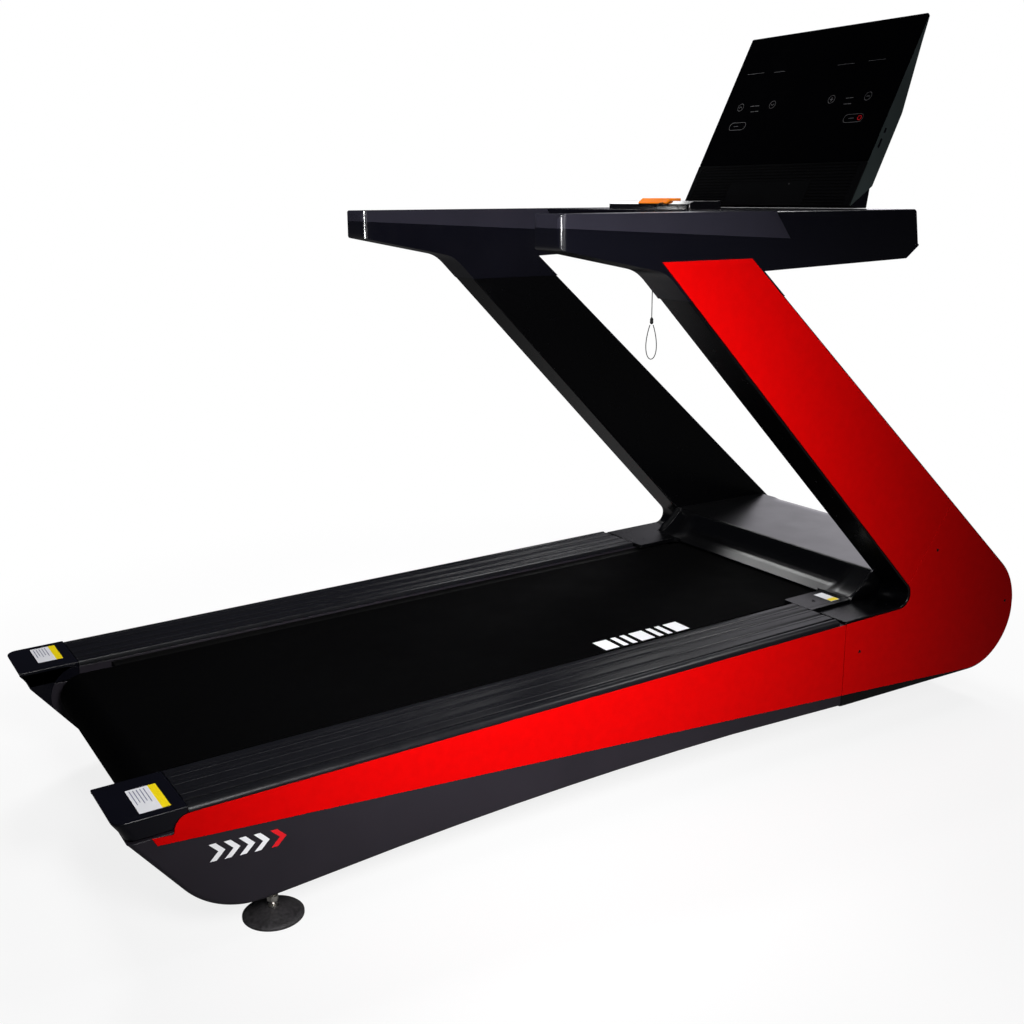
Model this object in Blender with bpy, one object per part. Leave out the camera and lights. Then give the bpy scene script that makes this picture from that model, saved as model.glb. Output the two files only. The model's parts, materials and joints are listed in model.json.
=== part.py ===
"""Motorised treadmill: flat running deck, two Z-shaped uprights, armrests and a touch console.

Units are metres, +Z is up, +X points forwards to the console and +Y is the user's left.
The origin is the middle of the base on the floor. Stations are distances along X measured
from the machine's rear end. Every sub-part is one closed solid in its own object.
"""
import math

import bmesh
import bpy
from mathutils import Vector

# ---------------------------------------------------------------- driving dimensions
LENGTH = 2.20
WIDTH = 0.92
REAR = -LENGTH / 2            # station 0 in the part's frame
HALF = WIDTH / 2
GAP = 0.0003                  # between solids that touch
SEAM = 0.0015                 # visible joint between two casings
ARC_STEP = math.radians(14)

# running deck
DECK_REAR_HEIGHT = 0.2758     # top of the foot rails at station 0
DECK_RISE = 0.0268            # rise per metre
BELT_HALF = 0.2725
BELT_THICKNESS = 0.0025
BELT_TOP = -0.0145            # below the foot rails' top
ROLLER_RADIUS = 0.045
ROLLER_HALF = 0.280
LOOP_STEPS = 12               # faces of a belt round each of its wheels
LOOP_RELIEF = 1 / math.cos(math.pi / LOOP_STEPS / 2)      # keeps those faces clear of the wheel
ROLLER_LEVEL = BELT_TOP - BELT_THICKNESS - (ROLLER_RADIUS + GAP) * LOOP_RELIEF
REAR_ROLLER = 0.118           # stations along the deck
FRONT_ROLLER = 1.780
AXLE_RADIUS = 0.0085
PULLEY_RADIUS = 0.055
BOARD_THICKNESS = 0.022
RAIL_INNER = 0.307            # foot rail edges, from the centre line
RAIL_OUTER = 0.4585
RAIL_REAR = 0.1215
RAIL_FRONT = 1.600
FRAME_INNER = 0.327           # steel side members
FRAME_OUTER = 0.3635

# casings
SKIN = 0.003
SHELL_OUTER = 0.4575          # outer face of the black side casings
PANEL_BACK = 0.4578           # red panels sit on the casings
UPRIGHT_INNER = 0.366
CASING_SEAM = 1.6175          # joint between deck casing and elbow
ELBOW_BOTTOM = 0.1085
ELBOW_RADIUS = 0.1458
KNEE_RADIUS = 0.0275
FRONT_LINE = (0.664, 0.7475, 1.7005)      # a*x + b*z = c along the upright's front edge
REAR_LINE = (1.0657, 1.12, 0.984)         # x at height z0, and run per unit of drop
RIM = 0.0045                  # black border round the red panels
UPRIGHT_TOP = 1.0437

# armrests and console
ARM_REAR = 0.848
ARM_TOP = 1.209
ARM_INNER = 0.362
ARM_OUTER = 0.4575
CONSOLE_REAR = 1.3535
CONSOLE_FRONT = 1.764
SPLIT_HEIGHT = 1.1845         # joint of upper and lower shells at ARM_REAR
SPLIT_FALL = 0.05256          # fall of that joint per metre
POD_REAR = 1.3865
POD_LIP = 1.2207              # top of the pod's rear face, below its sloping edge
POD_TOP = 1.2272
DISPLAY_STATION = 1.725
DISPLAY_HEIGHT = 1.215
DISPLAY_RECLINE = math.radians(27.5)
DISPLAY_LENGTH = 0.4675
DISPLAY_HALF = 0.286
GRILLE_LENGTH = 0.108
GLASS_THICKNESS = 0.005
HOUSING_LIP = (0.0103, 0.004)             # lower edge of the display's housing: depth, length
HOUSING_HEEL = (0.048, 0.072)

# drive and incline
MOTOR_CENTRE = (2.030, 0.2685)            # station, height
MOTOR_RADIUS = 0.060
MOTOR_PULLEY_RADIUS = 0.025
LIFT_PIVOT = (1.250, 0.155)
LIFT_ARM_INNER = 0.2555
LIFT_ARM_OUTER = 0.2855
WHEEL_CENTRE = (1.900, 0.045)
WHEEL_RADIUS = 0.045
ACTUATOR_TOP = (1.880, 0.250)
ACTUATOR_FOOT = 0.070
FOOT_STATION = 0.273
FOOT_Y = 0.405

SIDES = (("left", 1), ("right", -1))


def clear_scene():
    for item in list(bpy.data.objects):
        bpy.data.objects.remove(item, do_unlink=True)


# ---------------------------------------------------------------- materials
PALETTE = {
    "red_paint": ((0.62, 0.015, 0.02), 0.38, 0.0),
    "black_plastic": ((0.022, 0.022, 0.026), 0.48, 0.0),
    "grey_plastic": ((0.075, 0.075, 0.085), 0.50, 0.0),
    "gloss_black": ((0.010, 0.010, 0.012), 0.08, 0.0),
    "screen_glass": ((0.006, 0.006, 0.008), 0.04, 0.0),
    "rail_aluminium": ((0.13, 0.13, 0.14), 0.42, 0.8),
    "belt_rubber": ((0.030, 0.030, 0.033), 0.75, 0.0),
    "frame_steel": ((0.035, 0.035, 0.038), 0.50, 0.4),
    "roller_steel": ((0.55, 0.55, 0.56), 0.30, 1.0),
    "chrome": ((0.80, 0.80, 0.82), 0.10, 1.0),
    "deck_wood": ((0.40, 0.27, 0.15), 0.60, 0.0),
    "black_rubber": ((0.020, 0.020, 0.020), 0.85, 0.0),
    "orange_plastic": ((0.90, 0.30, 0.02), 0.40, 0.0),
    "cord_black": ((0.015, 0.015, 0.015), 0.80, 0.0),
    "motor_metal": ((0.22, 0.23, 0.25), 0.45, 0.7),
}


def material(slot):
    found = bpy.data.materials.get(slot)
    if found:
        return found
    colour, roughness, metallic = PALETTE[slot]
    made = bpy.data.materials.new(slot)
    made.use_nodes = True
    shader = made.node_tree.nodes["Principled BSDF"]
    shader.inputs["Base Color"].default_value = (*colour, 1.0)
    shader.inputs["Roughness"].default_value = roughness
    shader.inputs["Metallic"].default_value = metallic
    made.diffuse_color = (*colour, 1.0)
    return made


# ---------------------------------------------------------------- outlines
def cross_point(line_a, line_b):
    """Meeting point of two lines given as a*x + b*z = c."""
    (a1, b1, c1), (a2, b2, c2) = line_a, line_b
    det = a1 * b2 - a2 * b1
    return (c1 * b2 - c2 * b1) / det, (a1 * c2 - a2 * c1) / det


def rounded(corners, closed=True):
    """Outline through (x, z, radius) corners, with a tangent arc at each round one."""
    points = []
    count = len(corners)
    for index, (x, z, radius) in enumerate(corners):
        corner = Vector((x, z))
        at_end = not closed and index in (0, count - 1)
        if radius == 0 or at_end:
            points.append((x, z))
            continue
        before = (Vector(corners[index - 1][:2]) - corner).normalized()
        after = (Vector(corners[(index + 1) % count][:2]) - corner).normalized()
        half = before.angle(after) / 2
        centre = corner + (before + after).normalized() * radius / math.sin(half)
        start = corner + before * radius / math.tan(half) - centre
        end = corner + after * radius / math.tan(half) - centre
        first = math.atan2(start.y, start.x)
        sweep = (math.atan2(end.y, end.x) - first + math.pi) % math.tau - math.pi
        steps = max(2, round(abs(sweep) / ARC_STEP))
        for step in range(steps + 1):
            angle = first + sweep * step / steps
            points.append((centre.x + radius * math.cos(angle), centre.y + radius * math.sin(angle)))
    return points


def thickened(path, thickness):
    """Closed outline of a sheet whose outer face follows the path, on its right-hand side."""
    inner = []
    for index, (x, z) in enumerate(path):
        here = Vector((x, z))
        runs = []
        if index > 0:
            runs.append((here - Vector(path[index - 1])).normalized())
        if index < len(path) - 1:
            runs.append((Vector(path[index + 1]) - here).normalized())
        along = sum(runs, Vector((0, 0))).normalized()
        stretch = 1 / max(0.5, along.dot(runs[0]))
        inner.append((x + along.y * thickness * stretch, z - along.x * thickness * stretch))
    return list(path) + inner[::-1]


def rail_height(station):
    return DECK_REAR_HEIGHT + DECK_RISE * station


def split_height(station):
    return SPLIT_HEIGHT - SPLIT_FALL * (station - ARM_REAR)


# ---------------------------------------------------------------- solids
AXIS_ORDER = {"Y": (0, 2, 1), "Z": (0, 1, 2), "X": (1, 2, 0)}


def place(axis, first, second, along):
    """Point from outline coordinates and the distance along the extrusion axis."""
    order = AXIS_ORDER[axis]
    point = [0.0, 0.0, 0.0]
    point[order[0]] = first
    point[order[1]] = second
    point[order[2]] = along
    return point


def make_object(name, shape, slot, at=(REAR, 0, 0), parent=None, smooth=False):
    bmesh.ops.recalc_face_normals(shape, faces=shape.faces)
    mesh = bpy.data.meshes.new(name)
    shape.to_mesh(mesh)
    shape.free()
    mesh.materials.append(material(slot))
    if smooth:
        mesh.shade_smooth()
        mesh.set_sharp_from_angle(angle=math.radians(40))
    made = bpy.data.objects.new(name, mesh)
    bpy.context.scene.collection.objects.link(made)
    made.location = at
    made.parent = parent
    return made


def prism_shape(outline, low, high, axis="Y"):
    """An outline extruded from low to high along an axis."""
    shape = bmesh.new()
    rings = [[shape.verts.new(place(axis, a, b, end)) for a, b in outline] for end in (low, high)]
    count = len(outline)
    shape.faces.new(rings[0])
    shape.faces.new(rings[1][::-1])
    for index in range(count):
        after = (index + 1) % count
        shape.faces.new((rings[0][index], rings[0][after], rings[1][after], rings[1][index]))
    return shape


def ring_shape(outer, inner, low, high):
    """A closed band along Y between two outlines with the same number of points."""
    shape = bmesh.new()
    loops = [[shape.verts.new((x, end, z)) for x, z in outline]
             for outline in (outer, inner) for end in (low, high)]
    count = len(outer)
    for first, second in ((0, 1), (1, 3), (3, 2), (2, 0)):
        for index in range(count):
            after = (index + 1) % count
            quad = (loops[first][index], loops[first][after], loops[second][after], loops[second][index])
            shape.faces.new(quad)
    return shape


def turned_shape(profile, axis="Y", segments=24):
    """A profile of (radius, along) points turned about an axis; radius 0 makes a pole."""
    shape = bmesh.new()
    rings = []
    for radius, along in profile:
        if radius == 0:
            rings.append([shape.verts.new(place(axis, 0, 0, along))])
            continue
        turns = [math.tau * step / segments for step in range(segments)]
        rings.append([shape.verts.new(place(axis, radius * math.cos(t), radius * math.sin(t), along))
                      for t in turns])
    pairs = list(zip(rings, rings[1:]))
    if len(rings[0]) > 1:
        pairs.append((rings[-1], rings[0]))
    for first, second in pairs:
        for step in range(segments):
            after = (step + 1) % segments
            corners = [first[step % len(first)], first[after % len(first)],
                       second[after % len(second)], second[step % len(second)]]
            face = list(dict.fromkeys(corners))
            shape.faces.new(face)
    return shape


def box_shape(low, high):
    outline = [(low[0], low[2]), (high[0], low[2]), (high[0], high[2]), (low[0], high[2])]
    return prism_shape(outline, low[1], high[1])


def tube_shape(low, high, wall):
    """A square tube along X, open at both ends."""
    outer = [(low[1], low[2]), (high[1], low[2]), (high[1], high[2]), (low[1], high[2])]
    inner = [(low[1] + wall, low[2] + wall), (high[1] - wall, low[2] + wall),
             (high[1] - wall, high[2] - wall), (low[1] + wall, high[2] - wall)]
    shape = bmesh.new()
    loops = [[shape.verts.new((end, y, z)) for y, z in outline]
             for outline in (outer, inner) for end in (low[0], high[0])]
    for first, second in ((0, 1), (1, 3), (3, 2), (2, 0)):
        for index in range(4):
            after = (index + 1) % 4
            quad = (loops[first][index], loops[first][after], loops[second][after], loops[second][index])
            shape.faces.new(quad)
    return shape


def inset_outline(outline, wall, is_open):
    """The outline moved in by wall, but moved out past the edges whose middle is_open accepts."""
    count = len(outline)
    points = [Vector(point) for point in outline]
    area = sum(points[i - 1].cross(points[i]) for i in range(count))
    lines = []
    for index in range(count):
        start, end = points[index], points[(index + 1) % count]
        along = (end - start).normalized() * (1 if area > 0 else -1)
        outward = Vector((along.y, -along.x))
        middle = (start + end) / 2
        shift = 0.006 if is_open(middle.x, middle.y) else -wall
        lines.append((outward.x, outward.y, outward.dot(start) + shift))
    result = []
    for index in range(count):
        before, after = lines[index - 1], lines[index]
        if abs(before[0] * after[1] - before[1] * after[0]) > 0.01:
            result.append(cross_point(before, after))
        else:
            result.append((points[index].x + after[0] * (after[2] - Vector(after[:2]).dot(points[index])),
                           points[index].y + after[1] * (after[2] - Vector(after[:2]).dot(points[index]))))
    return result


def make_casing(name, outline, ends, slot, is_open, open_end=0, wall=SKIN, at=(REAR, 0, 0), parent=None):
    """A hollow prism along Y, open through some edges and, with open_end -1 or 1, through that end."""
    low, high = sorted(ends)
    made = make_object(name, prism_shape(outline, low, high), slot, at=at, parent=parent)
    inner_low = low + (wall if open_end != -1 else -0.010)
    inner_high = high - (wall if open_end != 1 else -0.010)
    core = prism_shape(inset_outline(outline, wall, is_open), inner_low, inner_high)
    combine(made, core, "DIFFERENCE", at=at, parent=parent)
    return made


def combine(target, shape, operation, at=(REAR, 0, 0), parent=None):
    """Join a shape to an object, or cut it away, with a Boolean modifier."""
    count = len(target.modifiers)
    tool = make_object(f"{target.name}_tool_{count}", shape, "frame_steel", at=at, parent=parent)
    tool.hide_render = True
    tool.display_type = "WIRE"
    boolean = target.modifiers.new(f"{operation.lower()}_{count}", "BOOLEAN")
    boolean.operation = operation
    boolean.solver = "EXACT"
    boolean.object = tool


# ---------------------------------------------------------------- steel frame
def make_frame(deck):
    for side, sign in SIDES:
        inner, outer = sorted((sign * FRAME_INNER, sign * FRAME_OUTER))
        rail = tube_shape((0.100, inner, -0.125), (2.100, outer, -0.055), SKIN)
        make_object(f"{side}_frame_rail", rail, "frame_steel", at=(0, 0, 0), parent=deck)
    make_rear_crossmember()
    make_mid_crossmember()
    make_motor_mount()
    make_upright_posts()
    beam = tube_along_y((1.440, 1.1250), (1.480, 1.1550), ARM_INNER - SKIN)
    make_object("console_crossbeam", beam, "frame_steel")


def tube_along_y(low, high, half, wall=SKIN):
    """A rectangular tube across the machine, open at both ends; corners are (station, height)."""
    outer = [low, (high[0], low[1]), high, (low[0], high[1])]
    inner = [(low[0] + wall, low[1] + wall), (high[0] - wall, low[1] + wall),
             (high[0] - wall, high[1] - wall), (low[0] + wall, high[1] - wall)]
    return ring_shape(outer, inner, -half, half)


def make_rear_crossmember():
    """A flat beam under the side members, drilled for the levelling feet."""
    beam = make_object("rear_crossmember", box_shape((0.243, -0.445, 0.141), (0.303, 0.445, 0.1535)),
                       "frame_steel")
    for _, sign in SIDES:
        drill = turned_shape([(0, 0.12), (0.0066, 0.12), (0.0066, 0.18), (0, 0.18)], "Z", 16)
        combine(beam, drill, "DIFFERENCE", at=(REAR + FOOT_STATION, sign * FOOT_Y, 0))


def make_mid_crossmember():
    """A cross tube with an ear at each end that carries the lift frame's pivot."""
    station, height = LIFT_PIVOT
    half = FRAME_INNER - GAP
    tube = box_shape((station - 0.020, -half, 0.212), (station + 0.020, half, 0.246))
    beam = make_object("mid_crossmember", tube, "frame_steel")
    for _, sign in SIDES:
        inner, outer = sorted((sign * 0.290, sign * 0.297))
        ear = box_shape((station - 0.018, inner, height - 0.018), (station + 0.018, outer, 0.230))
        combine(beam, ear, "UNION")
        drill = turned_shape([(0, -0.02), (0.0104, -0.02), (0.0104, 0.02), (0, 0.02)])
        combine(beam, drill, "DIFFERENCE", at=(REAR + station, sign * 0.2935, height))


def make_motor_mount():
    """A plate under the side members, with two ears for the incline motor's pivot."""
    station, height = ACTUATOR_TOP
    half = FRAME_OUTER - 0.005
    plate = make_object("motor_mount", box_shape((1.900, -half, 0.1950), (2.098, half, 0.2008)),
                        "frame_steel")
    for _, sign in SIDES:
        inner, outer = sorted((sign * 0.0185, sign * 0.0245))
        ear = [(station - 0.012, height - 0.012), (1.905, 0.198), (1.930, 0.198),
               (station + 0.020, height + 0.012), (station - 0.012, height + 0.012)]
        combine(plate, prism_shape(ear, inner, outer), "UNION")
        drill = turned_shape([(0, -0.01), (0.0064, -0.01), (0.0064, 0.01), (0, 0.01)], "Y", 16)
        combine(plate, drill, "DIFFERENCE", at=(REAR + station, sign * 0.0215, height))


def upright_outline(inset, rear, bottom, top_height):
    """The Z-shaped side outline, moved in from the casing's edge by inset.

    bottom is the lower edge as a line a*x + b*z = c.
    """
    a, b, c = FRONT_LINE
    front = (a, b, c - inset)
    rear_x, rear_z, run = REAR_LINE
    shift = inset * math.hypot(1, run)
    back = (1, run, rear_x + shift + rear_z * run)
    elbow_top = (-DECK_RISE, 1, DECK_REAR_HEIGHT - 0.0075 - inset)
    heel = cross_point(bottom, front)
    knee = cross_point(elbow_top, back)
    level = (0, 1, top_height)
    return rounded([
        (rear, (bottom[2] - bottom[0] * rear) / bottom[1], 0),
        (*heel, ELBOW_RADIUS - inset),
        (*cross_point(level, front), 0),
        (*cross_point(level, back), 0),
        (*knee, KNEE_RADIUS + inset),
        (rear, elbow_top[2] + DECK_RISE * rear, 0),
    ])


def make_upright_posts():
    """Steel posts inside the casings, with a boss that reaches the side members."""
    inset = 0.045
    outline = upright_outline(inset, 1.660, (0, 1, ELBOW_BOTTOM + inset), 1.035)
    for side, sign in SIDES:
        near, far = sorted((sign * 0.3845, sign * 0.4245))
        post = make_object(f"{side}_upright_post", prism_shape(outline, near, far), "frame_steel")
        near, far = sorted((sign * (FRAME_OUTER + GAP), sign * 0.400))
        boss = box_shape((1.740, near, 0.2120), (1.900, far, 0.2480))
        combine(post, boss, "UNION")


# ---------------------------------------------------------------- running deck
def make_deck(deck):
    board_top = BELT_TOP - BELT_THICKNESS - 0.0005
    board = box_shape((0.190, -0.320, board_top - BOARD_THICKNESS), (1.705, 0.320, board_top))
    make_object("deck_board", board, "deck_wood", at=(0, 0, 0), parent=deck)
    make_object("running_belt", belt_loop(), "belt_rubber", at=(0, 0, 0), parent=deck, smooth=True)
    for side, sign in SIDES:
        make_object(f"{side}_foot_rail", foot_rail_shape(sign), "rail_aluminium", at=(0, 0, 0), parent=deck)
        make_end_cap(side, sign)
        make_rail_cover(side, sign)
    for end, station in (("rear", REAR_ROLLER), ("front", FRONT_ROLLER)):
        half = FRAME_INNER - GAP
        axle = turned_shape([(0, -half), (AXLE_RADIUS, -half), (AXLE_RADIUS, half), (0, half)], "Y", 16)
        at = (station, 0, ROLLER_LEVEL)
        make_object(f"{end}_roller_axle", axle, "chrome", at=at, parent=deck, smooth=True)
        make_object(f"{end}_roller", roller_shape(end == "front"), "roller_steel", at=at, parent=deck,
                    smooth=True)


def loop_outline(rear, front, rear_radius, front_radius):
    """Open belt round two wheels, as an outline; each centre is (station, height)."""
    span = Vector(front) - Vector(rear)
    lean = math.atan2(span.y, span.x)
    open_angle = math.acos((rear_radius - front_radius) / span.length)
    points = []
    for centre, radius, start, sweep in (
            (front, front_radius, lean - open_angle, 2 * open_angle),
            (rear, rear_radius, lean + open_angle, math.tau - 2 * open_angle)):
        for step in range(LOOP_STEPS + 1):
            angle = start + sweep * step / LOOP_STEPS
            points.append((centre[0] + radius * math.cos(angle), centre[1] + radius * math.sin(angle)))
    return points


def belt_loop():
    centres = ((REAR_ROLLER, ROLLER_LEVEL), (FRONT_ROLLER, ROLLER_LEVEL))
    inside = (ROLLER_RADIUS + GAP) * LOOP_RELIEF
    outside = inside + BELT_THICKNESS
    return ring_shape(loop_outline(*centres, outside, outside), loop_outline(*centres, inside, inside),
                      -BELT_HALF, BELT_HALF)


def roller_shape(with_pulley):
    """A hollow roller, open along its bore, with a belt pulley at the right end."""
    wall = 0.005
    bore = AXLE_RADIUS + 0.0004
    profile = [(bore, ROLLER_HALF), (ROLLER_RADIUS, ROLLER_HALF), (ROLLER_RADIUS, -ROLLER_HALF)]
    if with_pulley:
        profile += [(PULLEY_RADIUS, -ROLLER_HALF - 0.001), (PULLEY_RADIUS, -0.307), (bore, -0.307)]
    else:
        profile += [(bore, -ROLLER_HALF)]
    profile += [(bore, -ROLLER_HALF + 0.012), (ROLLER_RADIUS - wall, -ROLLER_HALF + 0.012),
                (ROLLER_RADIUS - wall, ROLLER_HALF - 0.012), (bore, ROLLER_HALF - 0.012)]
    return turned_shape(profile)


def foot_rail_shape(sign):
    """Ribbed tread extrusion: two grooves, a dark channel and a rounded outer nose."""
    top = [(RAIL_INNER, -0.0100), (RAIL_INNER, -0.0015), (RAIL_INNER + 0.0015, 0)]
    for groove in (0.355, 0.395):
        top += [(groove, 0), (groove + 0.003, -0.0025), (groove + 0.009, -0.0025), (groove + 0.012, 0)]
    top += [(0.432, 0), (0.434, -0.0040), (0.440, -0.0040), (0.4425, -0.0008), (0.4480, 0),
            (0.4540, -0.0018), (0.4575, -0.0060), (RAIL_OUTER, -0.0118)]
    under = [(0.4550, -0.0118), (0.4500, -0.0068), (RAIL_INNER + 0.0025, -0.0068),
             (RAIL_INNER + 0.0025, -0.0100)]
    profile = [(sign * y, z) for y, z in top + under]
    return prism_shape(profile, RAIL_REAR, RAIL_FRONT, "X")


def make_end_cap(side, sign):
    """Moulded rear end of a foot rail, with an inner flank cut round the rear roller."""
    roller = Vector((0.125, 0.205))
    cut = 0.066

    def on_cut(degrees):
        angle = math.radians(degrees)
        return (roller.x + cut * math.cos(angle), roller.y + cut * math.sin(angle))

    top = [(0.0175, 0.2400), (0.0165, 0.2495), (0, 0.2720), (0.002, 0.2758), (0.121, rail_height(0.121))]
    arch = [on_cut(a) for a in (93.5, 106, 120, 134)]
    shelf = on_cut(148)
    flank = [on_cut(a) for a in (162, 176, 190, 202)]
    outline = top + arch + [shelf] + flank
    shape = bmesh.new()
    inner, step, outer = sign * RAIL_INNER, sign * (RAIL_INNER + 0.004), sign * RAIL_OUTER
    near = [shape.verts.new((x, inner, z)) for x, z in outline]
    mid = [shape.verts.new((x, step, z)) for x, z in outline]
    upper = len(top) + len(arch) + 1
    far = [shape.verts.new((x, outer, z)) for x, z in outline[:upper]]
    count = len(outline)
    shape.faces.new(near)
    for index in range(count):
        after = (index + 1) % count
        shape.faces.new((near[index], near[after], mid[after], mid[index]))
    shape.faces.new([mid[0], *mid[upper - 1:]])
    for index in range(upper):
        after = (index + 1) % upper
        shape.faces.new((mid[index], mid[after], far[after], far[index]))
    shape.faces.new(far)
    make_object(f"{side}_end_cap", shape, "black_plastic")


def make_rail_cover(side, sign):
    """Moulded cover that closes the front of a foot rail against the hood and the upright."""
    rear, front = 1.6025, 1.7265
    outline = [(rear, rail_height(rear) - 0.012), (front, rail_height(front) - 0.012),
               (front, rail_height(front) - 0.001), (rear, rail_height(rear))]
    near, far = sorted((sign * 0.2765, sign * (UPRIGHT_INNER - 0.0005)))
    make_object(f"{side}_rail_cover", prism_shape(outline, near, far), "black_plastic")


# ---------------------------------------------------------------- side casings
def belly(station):
    """Lower edge of the deck casing, a long shallow arc."""
    return 0.1158 - 0.0493 * (station - 1.2585) ** 2


def make_side_shells():
    front = CASING_SEAM - SEAM / 2
    low_edge = [(x, belly(x), 0) for x in (0.305, 0.50, 0.75, 1.0, 1.3)]
    outline = rounded([
        (0.0190, 0.2355, 0),
        (0.1590, 0.0597, 0.160),
        *low_edge,
        (front, belly(front), 0),
        (front, rail_height(front) - 0.0130, 0),
        (0.1225, rail_height(0.1225) - 0.0130, 0),
        (0.1225, 0.2390, 0),
    ])
    panel = rounded([
        (0.067, 0.223, 0),
        (front, 0.1375, 0),
        (front, rail_height(front) - 0.0125, 0),
        (0.097, rail_height(0.097) - 0.0125, 0.030),
        (0.095, 0.2345, 0.004),
        (0.058, 0.2370, 0),
    ])

    def is_open(x, z):
        return x > front - GAP or z > rail_height(x) - 0.020 or (x < 0.12 and z > 0.2354)

    for side, sign in SIDES:
        ends = (sign * 0.3115, sign * SHELL_OUTER)
        shell = make_casing(f"{side}_side_shell", outline, ends, "grey_plastic", is_open, open_end=-sign)
        drill = turned_shape([(0, 0.04), (0.009, 0.04), (0.009, 0.10), (0, 0.10)], "Z", 16)
        combine(shell, drill, "DIFFERENCE", at=(REAR + FOOT_STATION, sign * FOOT_Y, 0))
        near, far = sorted((sign * PANEL_BACK, sign * HALF))
        make_object(f"{side}_side_panel", prism_shape(panel, near, far), "red_paint")


def make_uprights():
    rear = CASING_SEAM + SEAM / 2
    cover = upright_outline(0, rear, (0, 1, ELBOW_BOTTOM), UPRIGHT_TOP)
    slope = -0.0551
    red = (-slope, 1, 0.223 - slope * 0.067)
    outline = upright_outline(RIM, rear, red, 1.120)
    elbow, upright = split_panel(outline)
    for side, sign in SIDES:
        casing = make_casing(f"{side}_upright_cover", cover, (sign * UPRIGHT_INNER, sign * SHELL_OUTER),
                             "black_plastic", lambda x, z: z > UPRIGHT_TOP - GAP, open_end=sign)
        near, far = sorted((sign * (UPRIGHT_INNER - 0.01), sign * (UPRIGHT_INNER + 0.01)))
        window = box_shape((1.736, near, 0.208), (1.904, far, 0.252))
        combine(casing, window, "DIFFERENCE")
        near, far = sorted((sign * PANEL_BACK, sign * HALF))
        make_object(f"{side}_elbow_panel", prism_shape(elbow, near, far), "red_paint")
        make_object(f"{side}_upright_panel", prism_shape(upright, near, far), "red_paint")


def split_panel(outline):
    """Divide the red outline along the seam from the front edge down to the knee."""
    front_end, rear_end = Vector((1.9410, 0.5460)), Vector((1.8140, 0.3690))
    along = (front_end - rear_end).normalized()
    across = Vector((along.y, -along.x)) * SEAM / 2

    upper = [point for point in outline if point[1] > front_end.y]
    first = outline.index(upper[0])
    start, end = outline[first - 1], upper[0]
    after = outline[(first + len(upper)) % len(outline)]
    lower = outline[first + len(upper):] + outline[:first]
    front_cut = [meet(start, end, front_end + off, along) for off in (across, -across)]
    rear_cut = [meet(upper[-1], after, front_end + off, along) for off in (across, -across)]
    elbow = lower + [front_cut[0], rear_cut[0]]
    return elbow, [front_cut[1], *upper, rear_cut[1]]


def meet(start, end, point, along):
    """Where the line through two points meets the line through a point in a direction."""
    first = (end[1] - start[1], start[0] - end[0])
    second = (along.y, -along.x)
    line_a = (*first, first[0] * start[0] + first[1] * start[1])
    line_b = (*second, second[0] * point.x + second[1] * point.y)
    return cross_point(line_a, line_b)


# ---------------------------------------------------------------- hood and front cover
def make_hood():
    half = UPRIGHT_INNER - 0.0005
    hood = rounded([
        (1.7280, 0.3145, 0),
        (1.7820, 0.3290, 0.045),
        (1.8010, 0.3785, 0.006),
        (2.1150, 0.3785, 0.010),
        (2.1180, 0.3700, 0),
    ], closed=False)
    make_object("motor_hood", prism_shape(thickened(hood, SKIN), -half, half), "black_plastic")
    cover = rounded([
        (2.1185, 0.3692, 0),
        (2.1760, 0.3000, 0.060),
        (2.1760, 0.1135, 0.045),
        (1.9500, 0.1135, 0),
    ], closed=False)
    front = make_object("front_cover", prism_shape(thickened(cover, SKIN), -half, half), "black_plastic")
    window = box_shape((2.160, -0.352, 0.213), (2.190, -0.268, 0.257))
    combine(front, window, "DIFFERENCE")


def make_power_inlet():
    """Mains socket with a rocker switch beside it, set in a window of the front cover."""
    centre = REAR + 2.1690
    plate = make_object("power_inlet", box_shape((-0.014, -0.0415, -0.0215), (0.014, 0.0415, 0.0215)),
                        "black_plastic", at=(centre, -0.310, 0.235))
    at = (centre, -0.310, 0.235)
    combine(plate, box_shape((-0.006, -0.033, -0.010), (0.020, -0.006, 0.010)), "DIFFERENCE", at=at)
    combine(plate, box_shape((-0.006, 0.010, -0.014), (0.020, 0.034, 0.014)), "DIFFERENCE", at=at)
    rocker = [(-0.0030, -0.0110), (0.0080, -0.0115), (0.0070, 0), (0.0040, 0.0115), (-0.0030, 0.0110)]
    make_object("power_switch", prism_shape(rocker, -0.0110, 0.0110), "black_plastic",
                at=(centre + 0.0020, -0.288, 0.235))


# ---------------------------------------------------------------- armrests and console
def at_split(x, z):
    """Whether a point is on the joint of the upper and lower shells."""
    return abs(z - split_height(x)) < 2 * GAP


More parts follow.
